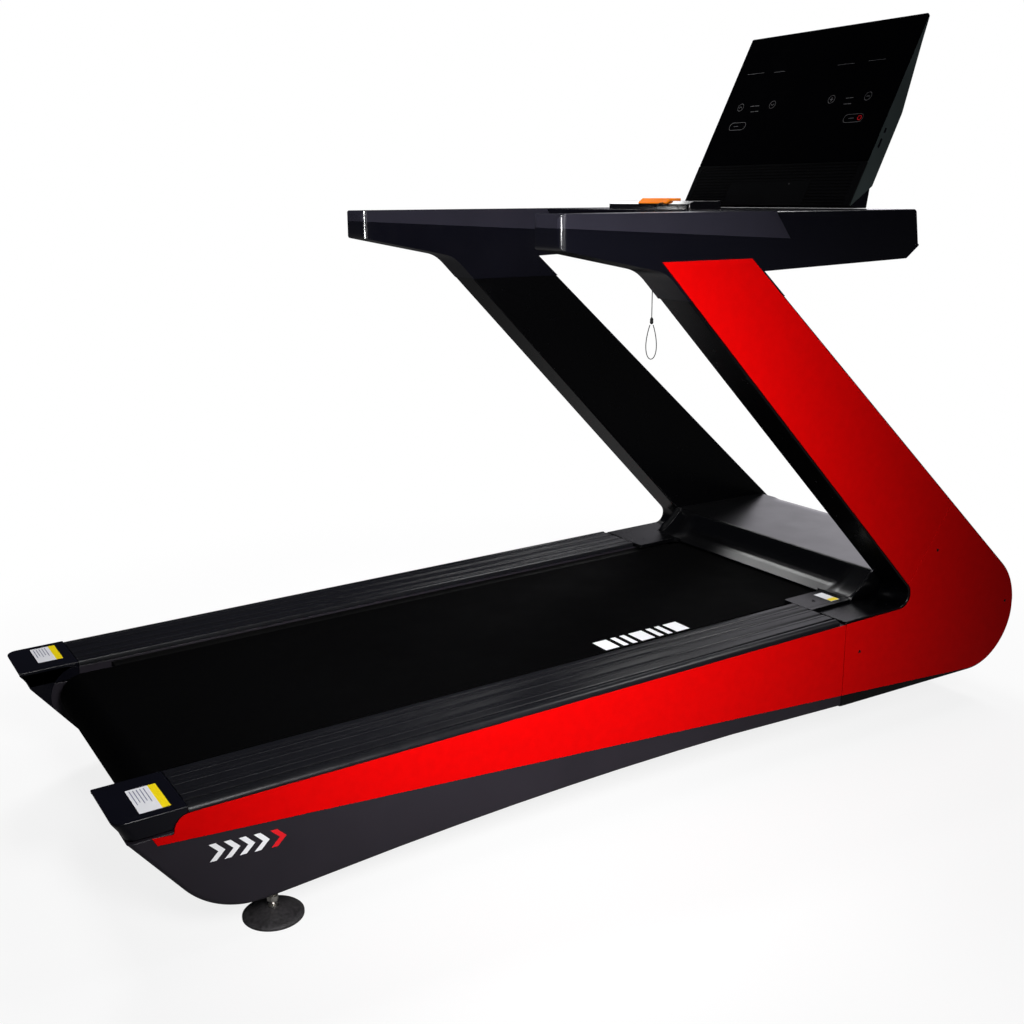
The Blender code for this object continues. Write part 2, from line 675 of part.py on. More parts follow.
def make_armrests():
    lower_corners = [
        (ARM_REAR, split_height(ARM_REAR), 0),
        (ARM_REAR, 1.1470, 0.012),
        (1.0858, 1.0995, 0.080),
    ]
    a, b, c = FRONT_LINE
    rear_x, rear_z, run = REAR_LINE
    base = UPRIGHT_TOP + GAP
    lower_corners += [
        (rear_x + (rear_z - base) * run, base, 0),
        ((c - b * base) / a, base, 0),
        ((c - b * 1.0945) / a, 1.0945, 0),
        (1.7290, 1.1075, 0.010),
        (CONSOLE_FRONT, 1.1330, 0),
        (CONSOLE_FRONT, split_height(CONSOLE_FRONT), 0),
    ]
    lower = rounded(lower_corners)
    seam_top, seam_low = 1.3520, 1.3930
    upper = rounded([
        (ARM_REAR, split_height(ARM_REAR) + GAP, 0),
        (seam_low, split_height(seam_low) + GAP, 0),
        (seam_top, ARM_TOP, 0),
        (ARM_REAR, ARM_TOP, 0.010),
    ])
    for side, sign in SIDES:
        ends = (sign * ARM_INNER, sign * ARM_OUTER)
        make_casing(f"{side}_armrest_lower", lower, ends, "black_plastic", at_split, wall=0.0025)
        make_casing(f"{side}_armrest_upper", upper, ends, "black_plastic", at_split, wall=0.0025)


def make_console():
    rear = CONSOLE_REAR
    upper = rounded([
        (rear + 0.0410, split_height(rear + 0.041) + GAP, 0),
        (CONSOLE_FRONT, split_height(CONSOLE_FRONT) + GAP, 0),
        (CONSOLE_FRONT - 0.0120, ARM_TOP, 0.008),
        (rear, ARM_TOP, 0),
    ])
    make_casing("console_upper", upper, (-ARM_OUTER, ARM_OUTER), "black_plastic", at_split, wall=0.0025)
    lower = rounded([
        (1.4000, split_height(1.4000), 0),
        (1.4000, 1.0968, 0.008),
        (1.7290, 1.1075, 0.010),
        (CONSOLE_FRONT, 1.1330, 0),
        (CONSOLE_FRONT, split_height(CONSOLE_FRONT), 0),
    ])
    half = ARM_INNER - 0.0005
    make_casing("console_lower", lower, (-half, half), "black_plastic", at_split, wall=0.0025)
    pod = rounded([
        (POD_REAR, ARM_TOP + GAP, 0),
        (POD_REAR + 0.0900, ARM_TOP + GAP, 0),
        (POD_REAR + 0.0900, POD_TOP, 0.006),
        (POD_REAR + 0.0140, POD_TOP, 0),
        (POD_REAR, POD_LIP, 0),
    ])
    make_object("key_pod", prism_shape(pod, -0.150, 0.150), "gloss_black")
    lip, heel = (Vector(display_point(*corner)) for corner in (HOUSING_LIP, HOUSING_HEEL))
    lower = Vector((0, -0.0006))
    top = [lip.lerp(heel, part) + lower for part in (0.90, 0.10)]
    neck = [(top[1].x, ARM_TOP + GAP), (1.787, ARM_TOP + GAP), *top]
    make_object("console_neck", prism_shape(neck, -0.283, 0.283), "black_plastic")


def display_point(depth, length):
    """World station and height of a point behind the screen's face and up its length."""
    lean = DISPLAY_RECLINE
    return (DISPLAY_STATION + depth * math.cos(lean) + length * math.sin(lean),
            DISPLAY_HEIGHT - depth * math.sin(lean) + length * math.cos(lean))


def make_display(display):
    """Glass, slatted grille and rear housing, in the leaning plane of the screen."""
    glass = [(0, GRILLE_LENGTH + SEAM / 2), (GLASS_THICKNESS, GRILLE_LENGTH + SEAM / 2),
             (GLASS_THICKNESS, DISPLAY_LENGTH), (0, DISPLAY_LENGTH)]
    make_object("console_glass", prism_shape(glass, -DISPLAY_HALF, DISPLAY_HALF), "screen_glass",
                at=(0, 0, 0), parent=display)
    slats = 8
    pitch = 0.0125
    front = [(0, 0)]
    for slat in range(slats):
        low = 0.006 + slat * pitch
        front += [(0, low), (0.002, low + 0.0015), (0.002, low + 0.0055), (0, low + 0.0070)]
    front += [(0, GRILLE_LENGTH)]
    grille = front + [(GLASS_THICKNESS, GRILLE_LENGTH), (GLASS_THICKNESS, 0)]
    make_object("console_grille", prism_shape(grille, -DISPLAY_HALF, DISPLAY_HALF), "black_plastic",
                at=(0, 0, 0), parent=display)
    back = GLASS_THICKNESS + GAP
    housing = rounded([
        (back, HOUSING_LIP[1], 0),
        (*HOUSING_LIP, 0),
        (*HOUSING_HEEL, 0.006),
        (0.046, 0.250, 0.060),
        (0.018, 0.410, 0.060),
        (back + 0.004, DISPLAY_LENGTH - 0.001, 0),
        (back, DISPLAY_LENGTH - 0.001, 0),
    ])
    half = DISPLAY_HALF - 0.002
    make_casing("console_housing", housing, (-half, half), "grey_plastic", lambda x, z: x < back + GAP,
                wall=0.0020, at=(0, 0, 0), parent=display)


# ---------------------------------------------------------------- drive
def deck_point(station, level):
    """World station and height of a point given along and above the sloping deck."""
    slope = math.atan(DECK_RISE)
    return (station * math.cos(slope) - level * math.sin(slope),
            DECK_REAR_HEIGHT + station * math.sin(slope) + level * math.cos(slope))


def make_drive():
    at = (REAR + MOTOR_CENTRE[0], 0, MOTOR_CENTRE[1])
    casing = [(0.0110, -0.215), (0.048, -0.215), (MOTOR_RADIUS, -0.190), (MOTOR_RADIUS, 0.060),
              (0.045, 0.085), (0.0110, 0.085)]
    motor = make_object("drive_motor", turned_shape(casing), "motor_metal", at=at, smooth=True)
    foot = box_shape((-0.045, -0.180, 0.2011 - MOTOR_CENTRE[1]), (0.045, 0.050, -0.040))
    combine(motor, foot, "UNION", at=at)
    rotor = [(0, 0.095), (0.0105, 0.095), (0.0105, -0.225), (0.050, -0.225), (0.050, -0.245),
             (0.016, -0.245), (0.016, -0.282), (MOTOR_PULLEY_RADIUS, -0.282), (MOTOR_PULLEY_RADIUS, -0.307),
             (0, -0.307)]
    make_object("motor_rotor", turned_shape(rotor), "roller_steel", at=at, smooth=True)
    rear = deck_point(FRONT_ROLLER, ROLLER_LEVEL)
    radii = [(radius + GAP) * LOOP_RELIEF for radius in (PULLEY_RADIUS, MOTOR_PULLEY_RADIUS)]
    inner = loop_outline(rear, MOTOR_CENTRE, *radii)
    outer = loop_outline(rear, MOTOR_CENTRE, *(radius + 0.003 for radius in radii))
    make_object("drive_belt", ring_shape(outer, inner, -0.306, -0.284), "black_rubber")
    controller = box_shape((1.955, 0.130, 0.2011), (2.085, 0.300, 0.2700))
    make_object("motor_controller", controller, "motor_metal")


# ---------------------------------------------------------------- incline
def make_incline():
    pivot_x, pivot_z = LIFT_PIVOT
    wheel_x, wheel_z = WHEEL_CENTRE[0] - pivot_x, WHEEL_CENTRE[1] - pivot_z
    at = (REAR + pivot_x, 0, pivot_z)
    shaft = [(0, -0.302), (0.010, -0.302), (0.010, 0.302), (0, 0.302)]
    frame = make_object("lift_frame", turned_shape(shaft), "frame_steel", at=at)
    arm = [(-0.016, -0.013), (wheel_x, wheel_z - 0.013), (wheel_x + 0.014, wheel_z),
           (wheel_x, wheel_z + 0.013), (-0.016, 0.013)]
    for _, sign in SIDES:
        near, far = sorted((sign * LIFT_ARM_INNER, sign * LIFT_ARM_OUTER))
        combine(frame, prism_shape(arm, near, far), "UNION", at=at)
        near, far = sorted((sign * 0.226, sign * (LIFT_ARM_OUTER - 0.005)))
        stub = turned_shape([(0, near), (0.008, near), (0.008, far), (0, far)], "Y", 16)
        combine(frame, stub, "UNION", at=(at[0] + wheel_x, 0, WHEEL_CENTRE[1]))
    cross_x = 1.828 - pivot_x
    cross_z = wheel_z * cross_x / wheel_x
    bar = box_shape((cross_x - 0.011, -0.270, cross_z - 0.010), (cross_x + 0.011, 0.270, cross_z + 0.010))
    combine(frame, bar, "UNION", at=at)
    lug_x, lug_z = ACTUATOR_TOP[0] - pivot_x, ACTUATOR_FOOT - pivot_z
    for _, sign in SIDES:
        near, far = sorted((sign * 0.015, sign * 0.021))
        lug = [(cross_x, cross_z - 0.008), (lug_x + 0.004, lug_z - 0.011), (lug_x + 0.012, lug_z),
               (lug_x + 0.004, lug_z + 0.011), (cross_x, cross_z + 0.008)]
        combine(frame, prism_shape(lug, near, far), "UNION", at=at)
    for side, sign in SIDES:
        wheel = [(0.0085, -0.0135), (0.0085, 0.0135), (0.040, 0.0135), (WHEEL_RADIUS, 0.0095),
                 (WHEEL_RADIUS, -0.0095), (0.040, -0.0135)]
        make_object(f"{side}_front_wheel", turned_shape(wheel), "black_rubber", smooth=True,
                    at=(REAR + WHEEL_CENTRE[0], sign * 0.2405, WHEEL_CENTRE[1]))
    make_actuator()


def make_actuator():
    at = (REAR + ACTUATOR_TOP[0], 0, ACTUATOR_TOP[1])
    body = [(0.0105, -0.008), (0.0165, -0.008), (0.0165, -0.155), (0.0105, -0.155)]
    motor = make_object("incline_motor", turned_shape(body, "Z", 16), "motor_metal", at=at)
    eye = turned_shape([(0, -0.0180), (0.0120, -0.0180), (0.0120, 0.0180), (0, 0.0180)], "Y", 16)
    combine(motor, eye, "UNION", at=at)
    pin = turned_shape([(0, -0.0265), (0.0060, -0.0265), (0.0060, 0.0265), (0, 0.0265)], "Y", 16)
    combine(motor, pin, "UNION", at=at)
    reach = ACTUATOR_FOOT - ACTUATOR_TOP[1]
    rod = [(0, -0.0135), (0.0100, -0.0135), (0.0100, reach + 0.006), (0.0070, reach - 0.005),
           (0, reach - 0.005)]
    make_object("incline_tube", turned_shape(rod, "Z", 16), "chrome", at=at, smooth=True)


# ---------------------------------------------------------------- feet, key and its cord
def make_feet():
    profile = [(0, 0), (0.0550, 0), (0.0550, 0.0050), (0.0480, 0.0110), (0.0220, 0.0270), (0.0130, 0.0300),
               (0.0060, 0.0300), (0.0060, 0.0440), (0.0110, 0.0440), (0.0110, 0.0540), (0.0060, 0.0540),
               (0.0060, 0.1640), (0, 0.1640)]
    for side, sign in SIDES:
        make_object(f"{side}_foot", turned_shape(profile, "Z"), "black_rubber", smooth=True,
                    at=(REAR + FOOT_STATION, sign * FOOT_Y, 0))


CORD_RADIUS = 0.001
CORD_STEP = 0.0062
KNOT_HEIGHT = 0.972
CORD_X = 1.3455
CORD_Y = -0.080
CORD_ROUTE = [                # station, y, height, from the key to the top of the knot
    (1.3863, -0.060, 1.2228), (1.3790, -0.065, 1.2232), (1.3680, -0.071, 1.2224),
    (1.3575, -0.077, 1.2185), (1.3500, -0.079, 1.2085), (1.3465, -0.080, 1.1930),
    (1.3455, -0.080, 1.1500), (1.3455, -0.080, 1.0900), (1.3455, -0.080, 1.0300),
    (1.3455, -0.080, 0.9755),
]
LOOP_DROP = 0.088
LOOP_SWELL = 0.0155
LOOP_AXIS = (0.853, -0.522)   # the loop hangs in an upright plane along this direction


def smooth_route(points, step):
    """Points a step apart along a smooth curve through the route's own points."""
    ends = [points[0], *points, points[-1]]
    dense = []
    for index in range(len(points) - 1):
        before, start, end, after = (Vector(p) for p in ends[index:index + 4])
        for part in range(20):
            t = part / 20
            square = 2 * before - 5 * start + 4 * end - after
            cube = 3 * start - before - 3 * end + after
            dense.append((2 * start + (end - before) * t + square * t ** 2 + cube * t ** 3) / 2)
    dense.append(Vector(points[-1]))
    total = sum((b - a).length for a, b in zip(dense, dense[1:]))
    spacing = total / round(total / step)
    result = [dense[0]]
    walked = 0.0
    for first, second in zip(dense, dense[1:]):
        walked += (second - first).length
        if walked >= spacing * len(result) - 1e-6:
            result.append(second)
    result[-1] = dense[-1]
    return result


def make_cord(name, points):
    curve = bpy.data.curves.new(name, "CURVE")
    curve.dimensions = "3D"
    curve.bevel_depth = CORD_RADIUS
    curve.bevel_resolution = 2
    curve.use_fill_caps = True
    curve.materials.append(material("cord_black"))
    spline = curve.splines.new("POLY")
    spline.points.add(len(points) - 1)
    for target, point in zip(spline.points, points):
        target.co = (*point, 1)
    made = bpy.data.objects.new(name, curve)
    bpy.context.scene.collection.objects.link(made)
    made.location = (REAR, 0, 0)


def loop_point(turn):
    """Teardrop loop below the knot; turn runs from 0 to 1."""
    swing = LOOP_SWELL * math.sin(math.tau * turn) * math.sin(math.pi * turn)
    drop = LOOP_DROP * math.sin(math.pi * turn) ** 2
    return (CORD_X + swing * LOOP_AXIS[0], CORD_Y + swing * LOOP_AXIS[1], KNOT_HEIGHT - 0.0035 - drop)


def make_key():
    """The key clips over the pod's sloping rear edge."""
    rear, top = POD_REAR + 0.0007, POD_TOP + 0.0062
    key = rounded([
        (rear, POD_LIP + 0.0007, 0),
        (POD_REAR + 0.0140, POD_TOP + GAP, 0),
        (POD_REAR + 0.0425, POD_TOP + GAP, 0),
        (POD_REAR + 0.0425, top, 0.002),
        (POD_REAR + 0.0130, top, 0.003),
        (rear, POD_LIP + 0.0036, 0),
    ])
    middle = Vector((REAR + 1.4080, -0.0175, POD_TOP + GAP))
    shape = prism_shape([(x + REAR - middle.x, z - middle.z) for x, z in key], -0.0515, 0.0515)
    make_object("safety_key", shape, "orange_plastic", at=middle)
    make_cord("safety_cord", smooth_route(CORD_ROUTE, CORD_STEP))
    start, count = 0.115, 30
    turns = [start + (1 - 2 * start) * step / count for step in range(count + 1)]
    make_cord("safety_cord_loop", [loop_point(turn) for turn in turns])
    ends = loop_point(start)
    knot = [(0, KNOT_HEIGHT + 0.0031), (0.0020, KNOT_HEIGHT + 0.0022), (0.0030, KNOT_HEIGHT - 0.002),
            (0.0042, KNOT_HEIGHT - 0.008), (0.0040, ends[2] + 0.0014), (0, ends[2] + 0.0014)]
    make_object("cord_knot", turned_shape(knot, "Z", 12), "cord_black", at=(REAR + CORD_X, CORD_Y, 0),
                smooth=True)


# ---------------------------------------------------------------- assembly
def make_datum(name, location, turn):
    """An empty that carries parts in a tilted plane."""
    datum = bpy.data.objects.new(name, None)
    bpy.context.scene.collection.objects.link(datum)
    datum.location = location
    datum.rotation_euler = (0, turn, 0)
    return datum


def main():
    clear_scene()
    deck = make_datum("deck_datum", (REAR, 0, DECK_REAR_HEIGHT), -math.atan(DECK_RISE))
    display = make_datum("display_datum", (REAR + DISPLAY_STATION, 0, DISPLAY_HEIGHT), DISPLAY_RECLINE)
    make_frame(deck)
    make_deck(deck)
    make_side_shells()
    make_uprights()
    make_hood()
    make_power_inlet()
    make_armrests()
    make_console()
    make_display(display)
    make_drive()
    make_incline()
    make_feet()
    make_key()


main()
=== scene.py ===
"""Looks of the motorised treadmill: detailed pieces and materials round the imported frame.

Metres, +X to the front, +Y to the user's left, +Z up, as in the frame.
"""
import json
import math

import bmesh
import bpy
from mathutils import Matrix, Vector


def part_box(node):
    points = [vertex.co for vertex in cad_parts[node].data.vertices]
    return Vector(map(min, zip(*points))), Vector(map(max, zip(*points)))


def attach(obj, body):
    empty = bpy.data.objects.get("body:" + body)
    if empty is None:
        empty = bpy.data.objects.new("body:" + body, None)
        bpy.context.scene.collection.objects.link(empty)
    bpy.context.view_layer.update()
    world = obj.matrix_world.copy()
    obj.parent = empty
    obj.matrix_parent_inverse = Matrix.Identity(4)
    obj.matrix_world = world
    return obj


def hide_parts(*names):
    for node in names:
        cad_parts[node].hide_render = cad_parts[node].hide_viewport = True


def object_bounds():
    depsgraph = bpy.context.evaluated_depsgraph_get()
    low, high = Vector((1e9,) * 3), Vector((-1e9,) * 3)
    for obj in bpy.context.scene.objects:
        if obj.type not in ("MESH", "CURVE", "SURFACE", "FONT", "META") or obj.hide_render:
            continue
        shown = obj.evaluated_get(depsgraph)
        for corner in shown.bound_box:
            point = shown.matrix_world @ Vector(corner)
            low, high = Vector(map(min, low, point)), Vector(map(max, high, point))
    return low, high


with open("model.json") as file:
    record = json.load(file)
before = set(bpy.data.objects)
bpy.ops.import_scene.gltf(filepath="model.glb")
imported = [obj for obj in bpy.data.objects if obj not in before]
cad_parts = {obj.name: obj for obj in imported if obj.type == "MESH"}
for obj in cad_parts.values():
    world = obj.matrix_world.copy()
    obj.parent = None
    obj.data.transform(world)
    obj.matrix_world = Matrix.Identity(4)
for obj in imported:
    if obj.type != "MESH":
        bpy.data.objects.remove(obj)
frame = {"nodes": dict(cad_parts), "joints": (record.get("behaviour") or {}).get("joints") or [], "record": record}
CAD_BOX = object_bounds()

NODES = frame["nodes"]
RECORD = frame["record"]
BODY_OF = {node: body for body, nodes in RECORD["behaviour"]["bodies"].items() for node in nodes}
SLOT_OF = {part["node"]: part["material_slot"] for part in RECORD["subparts"]}
JOINT_AT = {joint["name"]: Vector(joint["pos_m"]) for joint in frame["joints"] if "pos_m" in joint}
SIDES = (("left", 1), ("right", -1))
MM = 0.001
ON_PLANE = 0.0005                   # a point this near a plane counts as on it


# ---- node trees
def wiring(owner):
    """The node tree of a material or world, and a function that adds a node to it."""
    owner.use_nodes = True
    tree = owner.node_tree

    def add(kind, inputs=None, **settings):
        node = tree.nodes.new(f"ShaderNode{kind}")
        for name, value in settings.items():
            setattr(node, name, value)
        feed(node, inputs or {})
        return node

    return tree, add


def feed(node, inputs):
    """Set a node's inputs to values, or link them to other nodes' outputs."""
    for socket, value in inputs.items():
        if isinstance(value, bpy.types.NodeSocket):
            node.id_data.links.new(value, node.inputs[socket])
        else:
            node.inputs[socket].default_value = value


def set_ramp(ramp, *stops):
    """Give a colour ramp its two stops, each a position and a colour."""
    for element, (position, color) in zip(ramp.color_ramp.elements, stops):
        element.position = position
        element.color = (*color, 1)


# ---- camera, floor and light
def placed(name, data):
    """A new object in the scene."""
    thing = bpy.data.objects.new(name, data)
    bpy.context.scene.collection.objects.link(thing)
    return thing


def make_camera():
    """The camera at the photograph's viewing angle."""
    heading, pitch, roll = (math.radians(angle) for angle in (-31.452, -14.34, -0.309))
    data = bpy.data.cameras.new("camera")
    data.sensor_width = 36.0
    data.lens = 43.59
    camera = placed("camera", data)
    turn = (Matrix.Rotation(heading, 4, "Z") @ Matrix.Rotation(math.pi / 2 + pitch, 4, "X")
            @ Matrix.Rotation(roll, 4, "Z"))
    camera.matrix_world = Matrix.Translation((-1.487, -2.307, 1.242)) @ turn
    bpy.context.scene.camera = camera


def make_softbox(name, at, target, size, power, spread=180):
    data = bpy.data.lights.new(name, "AREA")
    data.shape = "RECTANGLE"
    data.size, data.size_y = size
    data.energy = power
    data.spread = math.radians(spread)
    lamp = placed(name, data)
    lamp.location = at
    lamp.rotation_euler = (Vector(target) - Vector(at)).to_track_quat("-Z", "Y").to_euler()
    return lamp


def make_world():
    """White as seen by the camera; for light, a bright backdrop ahead of the machine in a dim room."""
    world = bpy.data.worlds.new("studio")
    bpy.context.scene.world = world
    tree, add = wiring(world)
    tree.nodes.clear()
    place = add("TexCoord")
    facing = add("VectorMath", {0: place.outputs["Generated"], 1: (0.824, 0.553, 0.12)}, operation="DOT_PRODUCT")
    tones = add("ValToRGB", {"Fac": facing.outputs["Value"]})
    set_ramp(tones, (0.925, (0.016, 0.017, 0.024)), (0.99, (1.75, 1.7, 1.84)))
    glow = add("Background", {"Color": tones.outputs["Color"]})
    seen = add("Background", {"Color": (1, 1, 1, 1)})
    path = add("LightPath")
    mix = add("MixShader", {"Fac": path.outputs["Is Camera Ray"], 1: glow.outputs[0], 2: seen.outputs[0]})
    add("OutputWorld", {"Surface": mix.outputs[0]})


def make_floor():
    """A pale floor that fades into the white surround away from the machine."""
    shape = bmesh.new()
    bmesh.ops.create_circle(shape, cap_ends=True, segments=64, radius=30.0)
    mesh = bpy.data.meshes.new("floor")
    shape.to_mesh(mesh)
    shape.free()
    floor = placed("floor", mesh)
    floor.location.z = -0.0002
    material = bpy.data.materials.new("pale_floor")
    tree, add = wiring(material)
    place = add("TexCoord").outputs["Object"]
    noise = add("TexNoise", {"Vector": place, "Scale": 2.0})
    tones = add("ValToRGB", {"Fac": noise.outputs["Fac"]})
    set_ramp(tones, (0.0, (0.9, 0.9, 0.905)), (1.0, (0.94, 0.94, 0.945)))
    shader = tree.nodes["Principled BSDF"]
    feed(shader, {"Base Color": tones.outputs["Color"], "Roughness": 0.8})
    away = add("VectorMath", {0: place}, operation="LENGTH")
    fade = add("MapRange", {"Value": away.outputs["Value"], "From Min": 0.9, "From Max": 2.2, "To Min": 0.84},
               interpolation_type="SMOOTHSTEP")
    path = add("LightPath")
    seen = add("MapRange", {"Value": path.outputs["Is Camera Ray"], "To Min": 0.05})
    glow = add("Emission", {"Strength": seen.outputs["Result"]})
    mix = add("MixShader", {"Fac": fade.outputs["Result"], 1: shader.outputs[0], 2: glow.outputs[0]})
    feed(tree.nodes["Material Output"], {"Surface": mix.outputs[0]})
    mesh.materials.append(material)


def make_studio():
    make_world()
    make_floor()
    make_softbox("key_light", (-0.9, -2.2, 1.6), (-0.3, -0.46, 0.55), (0.7, 0.7), 12.4, 56)
    make_softbox("edge_light", (-3.2, -2.2, 1.12), (-0.25, 0.0, 1.15), (0.22, 0.5), 3.2, 24)
    make_softbox("top_light", (1.9, -0.45, 3.2), (0.4, -0.3, 0.8), (2.0, 0.4), 40)
    make_softbox("hood_light", (1.5, 2.0, 2.3), (0.5, -0.1, 0.3), (0.9, 0.5), 0.6, 40)
    fill = make_softbox("fill_light", (0.2, 3.4, 3.6), (0.0, 0.46, 0.6), (1.2, 1.2), 26, 70)
    fill.visible_glossy = False
    bpy.context.scene.view_settings.view_transform = "Standard"


# ---- materials
def surface(name, color, roughness, metallic=0.0, shade=0.1, shade_scale=7.0, mottle=0.05, mottle_scale=40.0,
            grain=900.0, depth=0.03, stretch=(1, 1, 1), specular=0.5, sockets=None):
    """A material with broad colour variation, mottled roughness and a fine moulded or brushed grain.

    depth is the grain's height in millimetres; stretch scales the grain along each axis.
    """
    material = bpy.data.materials.new(name)
    tree, add = wiring(material)
    place = add("TexCoord").outputs["Object"]

    def noise(scale, detail, vector):
        return add("TexNoise", {"Scale": scale, "Detail": detail, "Vector": vector}).outputs["Fac"]

    tones = add("ValToRGB", {"Fac": noise(shade_scale, 5.0, place)})
    set_ramp(tones, (0.3, [channel * (1 - shade) for channel in color]),
             (0.7, [channel * (1 + shade) for channel in color]))
    rough = add("MapRange", {"Value": noise(mottle_scale, 4.0, place), "From Min": 0.3, "From Max": 0.7,
                             "To Min": max(roughness - mottle, 0.02), "To Max": min(roughness + mottle, 1.0)})
    scaled = add("Mapping", {"Vector": place, "Scale": stretch})
    bump = add("Bump", {"Height": noise(grain, 2.0, scaled.outputs["Vector"]), "Distance": depth * MM})
    feed(tree.nodes["Principled BSDF"],
         {"Base Color": tones.outputs["Color"], "Roughness": rough.outputs["Result"],
          "Normal": bump.outputs["Normal"], "Metallic": metallic, "Specular IOR Level": specular,
          **(sockets or {})})
    return material


def woven_rubber(name, color, roughness):
    """Belt surface: fine crossed ribs pressed into dark rubber."""
    material = surface(name, color, roughness, shade=0.16, shade_scale=3.0, mottle=0.06, mottle_scale=9.0,
                       specular=0.03)
    tree, add = wiring(material)
    place = next(node for node in tree.nodes if node.type == "TEX_COORD").outputs["Object"]
    bump = next(node for node in tree.nodes if node.type == "BUMP")
    ribs = []
    for turn in (math.radians(52), math.radians(-52)):
        lean = add("Mapping", {"Vector": place, "Rotation": (0, 0, turn)})
        wave = add("TexWave", {"Vector": lean.outputs["Vector"], "Scale": 150.0, "Distortion": 0.3})
        ribs.append(wave.outputs["Fac"])
    crossed = add("Math", {0: ribs[0], 1: ribs[1]}, operation="MULTIPLY")
    feed(bump, {"Height": crossed.outputs[0], "Distance": 0.25 * MM})
    return material


BLACK = surface("satin_black", (0.0026, 0.0026, 0.005), 0.22, mottle=0.03, depth=0.002, specular=0.42)
# Darker copy of the satin black: painted shade on the upright covers and the rail covers.
POST_PAINTED_SHADE = surface("upright_black_painted_shade", (0.0007, 0.0007, 0.001), 0.26, mottle=0.015, depth=0.002, specular=0.35)
# Lighter copy of the satin black: painted sheen on the armrests' upper shells.
UPPER_PAINTED_SHEEN = surface("upper_shell_black_painted_sheen", (0.019, 0.018, 0.0265), 0.22, mottle=0.03, depth=0.002)
CASING = surface("casing_grey", (0.0165, 0.014, 0.019), 0.36, mottle=0.04, depth=0.004, specular=0.35)
# Darker copy of the satin black: painted shade over the whole motor hood.
HOOD_PAINTED_SHADE = surface("hood_black_painted_shade", (0.0012, 0.0012, 0.0016), 0.3, mottle=0.02, mottle_scale=14.0, depth=0.002)
# Grey of the display housing, partly its own tone and partly a painted reflection lightening its sides.
HOUSING_PAINTED_REFLECTION = surface("housing_grey_painted_reflection", (0.05, 0.066, 0.065), 0.36, depth=0.006)
RED = surface("satin_red", (0.58, 0.0004, 0.0006), 0.45, shade=0.04, shade_scale=60.0, mottle=0.03, grain=2200.0,
              depth=0.003, specular=0.06)
GLOSS = surface("gloss_black", (0.0025, 0.0025, 0.003), 0.1, mottle=0.03, mottle_scale=25.0, depth=0.004,
                sockets={"Coat Weight": 0.5, "Coat Roughness": 0.04})
GLASS = surface("screen_glass", (0.0006, 0.0006, 0.0008), 0.16, mottle=0.04, mottle_scale=10.0, depth=0.0,
                specular=0.1)
GRILLE = surface("grille_black", (0.0024, 0.0024, 0.0024), 0.34, depth=0.003, specular=0.3)
RAIL = surface("anodised_rail", (0.0055, 0.0055, 0.007), 0.32, metallic=0.1, mottle=0.04, grain=1200.0,
               depth=0.004, stretch=(0.02, 1, 1), specular=0.45)
BELT = woven_rubber("belt_rubber", (0.0006, 0.0006, 0.0007), 0.8)
STEEL = surface("powder_coated_steel", (0.012, 0.012, 0.014), 0.48, grain=700.0, depth=0.05)
TURNED = surface("turned_steel", (0.46, 0.46, 0.47), 0.28, metallic=1.0, grain=1500.0, depth=0.01,
                 stretch=(1, 0.03, 1))
CHROME = surface("bright_zinc", (0.8, 0.77, 0.7), 0.34, metallic=1.0, mottle=0.08, grain=500.0, depth=0.01)
CAST = surface("cast_aluminium", (0.2, 0.21, 0.23), 0.45, metallic=0.8, grain=600.0, depth=0.08)
BOARD = surface("deck_board", (0.002, 0.002, 0.002), 0.6, grain=300.0, depth=0.02, stretch=(0.1, 1, 1),
                specular=0.1)
RUBBER = surface("scuffed_rubber", (0.026, 0.024, 0.026), 0.62, shade=0.6, shade_scale=160.0, mottle=0.14,
                 grain=420.0, depth=0.3)
ORANGE = surface("key_orange", (1.0, 0.24, 0.004), 0.38, shade=0.05, depth=0.02)
CORD = surface("braided_cord", (0.004, 0.004, 0.004), 0.75, grain=2600.0, depth=0.15, stretch=(1, 1, 0.6))
STICKER = surface("sticker_white", (0.74, 0.74, 0.77), 0.5, shade=0.03, depth=0.005)
WHITE_INK = surface("white_ink", (0.86, 0.86, 0.88), 0.5, shade=0.03, depth=0.005)
GREY_INK = surface("grey_ink", (0.15, 0.15, 0.155), 0.4, shade=0.1, depth=0.005)
TEXT_GREY = surface("sticker_grey", (0.15, 0.15, 0.24), 0.5, shade=0.1, depth=0.005)
YELLOW_INK = surface("yellow_ink", (0.86, 0.66, 0.003), 0.45, shade=0.04, depth=0.005)
RED_INK = surface("red_ink", (0.7, 0.006, 0.012), 0.4, shade=0.05, depth=0.005)


# ---- mesh helpers
def finished(name, shape, material, node, slot=None, sharp=35):
    """Turn a bmesh into a piece that rides with a CAD node's body."""
    bmesh.ops.recalc_face_normals(shape, faces=shape.faces)
    mesh = bpy.data.meshes.new(name)
    shape.to_mesh(mesh)
    shape.free()
    mesh.materials.append(material)
    mesh.shade_smooth()
    mesh.set_sharp_from_angle(angle=math.radians(sharp))
    piece = placed(name, mesh)
    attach(piece, BODY_OF[node])
    slot or SLOT_OF[node]
    return piece


def loft(sections, ends=True):
    """A shape through sections of as many points each: filled at both ends, or closed into a ring."""
    shape = bmesh.new()
    rings = [[shape.verts.new(point) for point in section] for section in sections]
    if ends:
        shape.faces.new(rings[0])
        shape.faces.new(rings[-1][::-1])
    for first, second in zip(rings, rings[1:] + ([] if ends else rings[:1])):
        for index in range(len(first)):
            after = (index + 1) % len(first)
            shape.faces.new((first[index], first[after], second[after], second[index]))
    return shape


def soften(piece, width, segments=3, weighted=False, angle=32):
    """Round the edges of a piece with a Bevel modifier."""
    bevel = piece.modifiers.new("rounded_edges", "BEVEL")
    bevel.width = width
    bevel.segments = segments
    bevel.limit_method = "WEIGHT" if weighted else "ANGLE"
    bevel.angle_limit = math.radians(angle)
    bevel.harden_normals = True


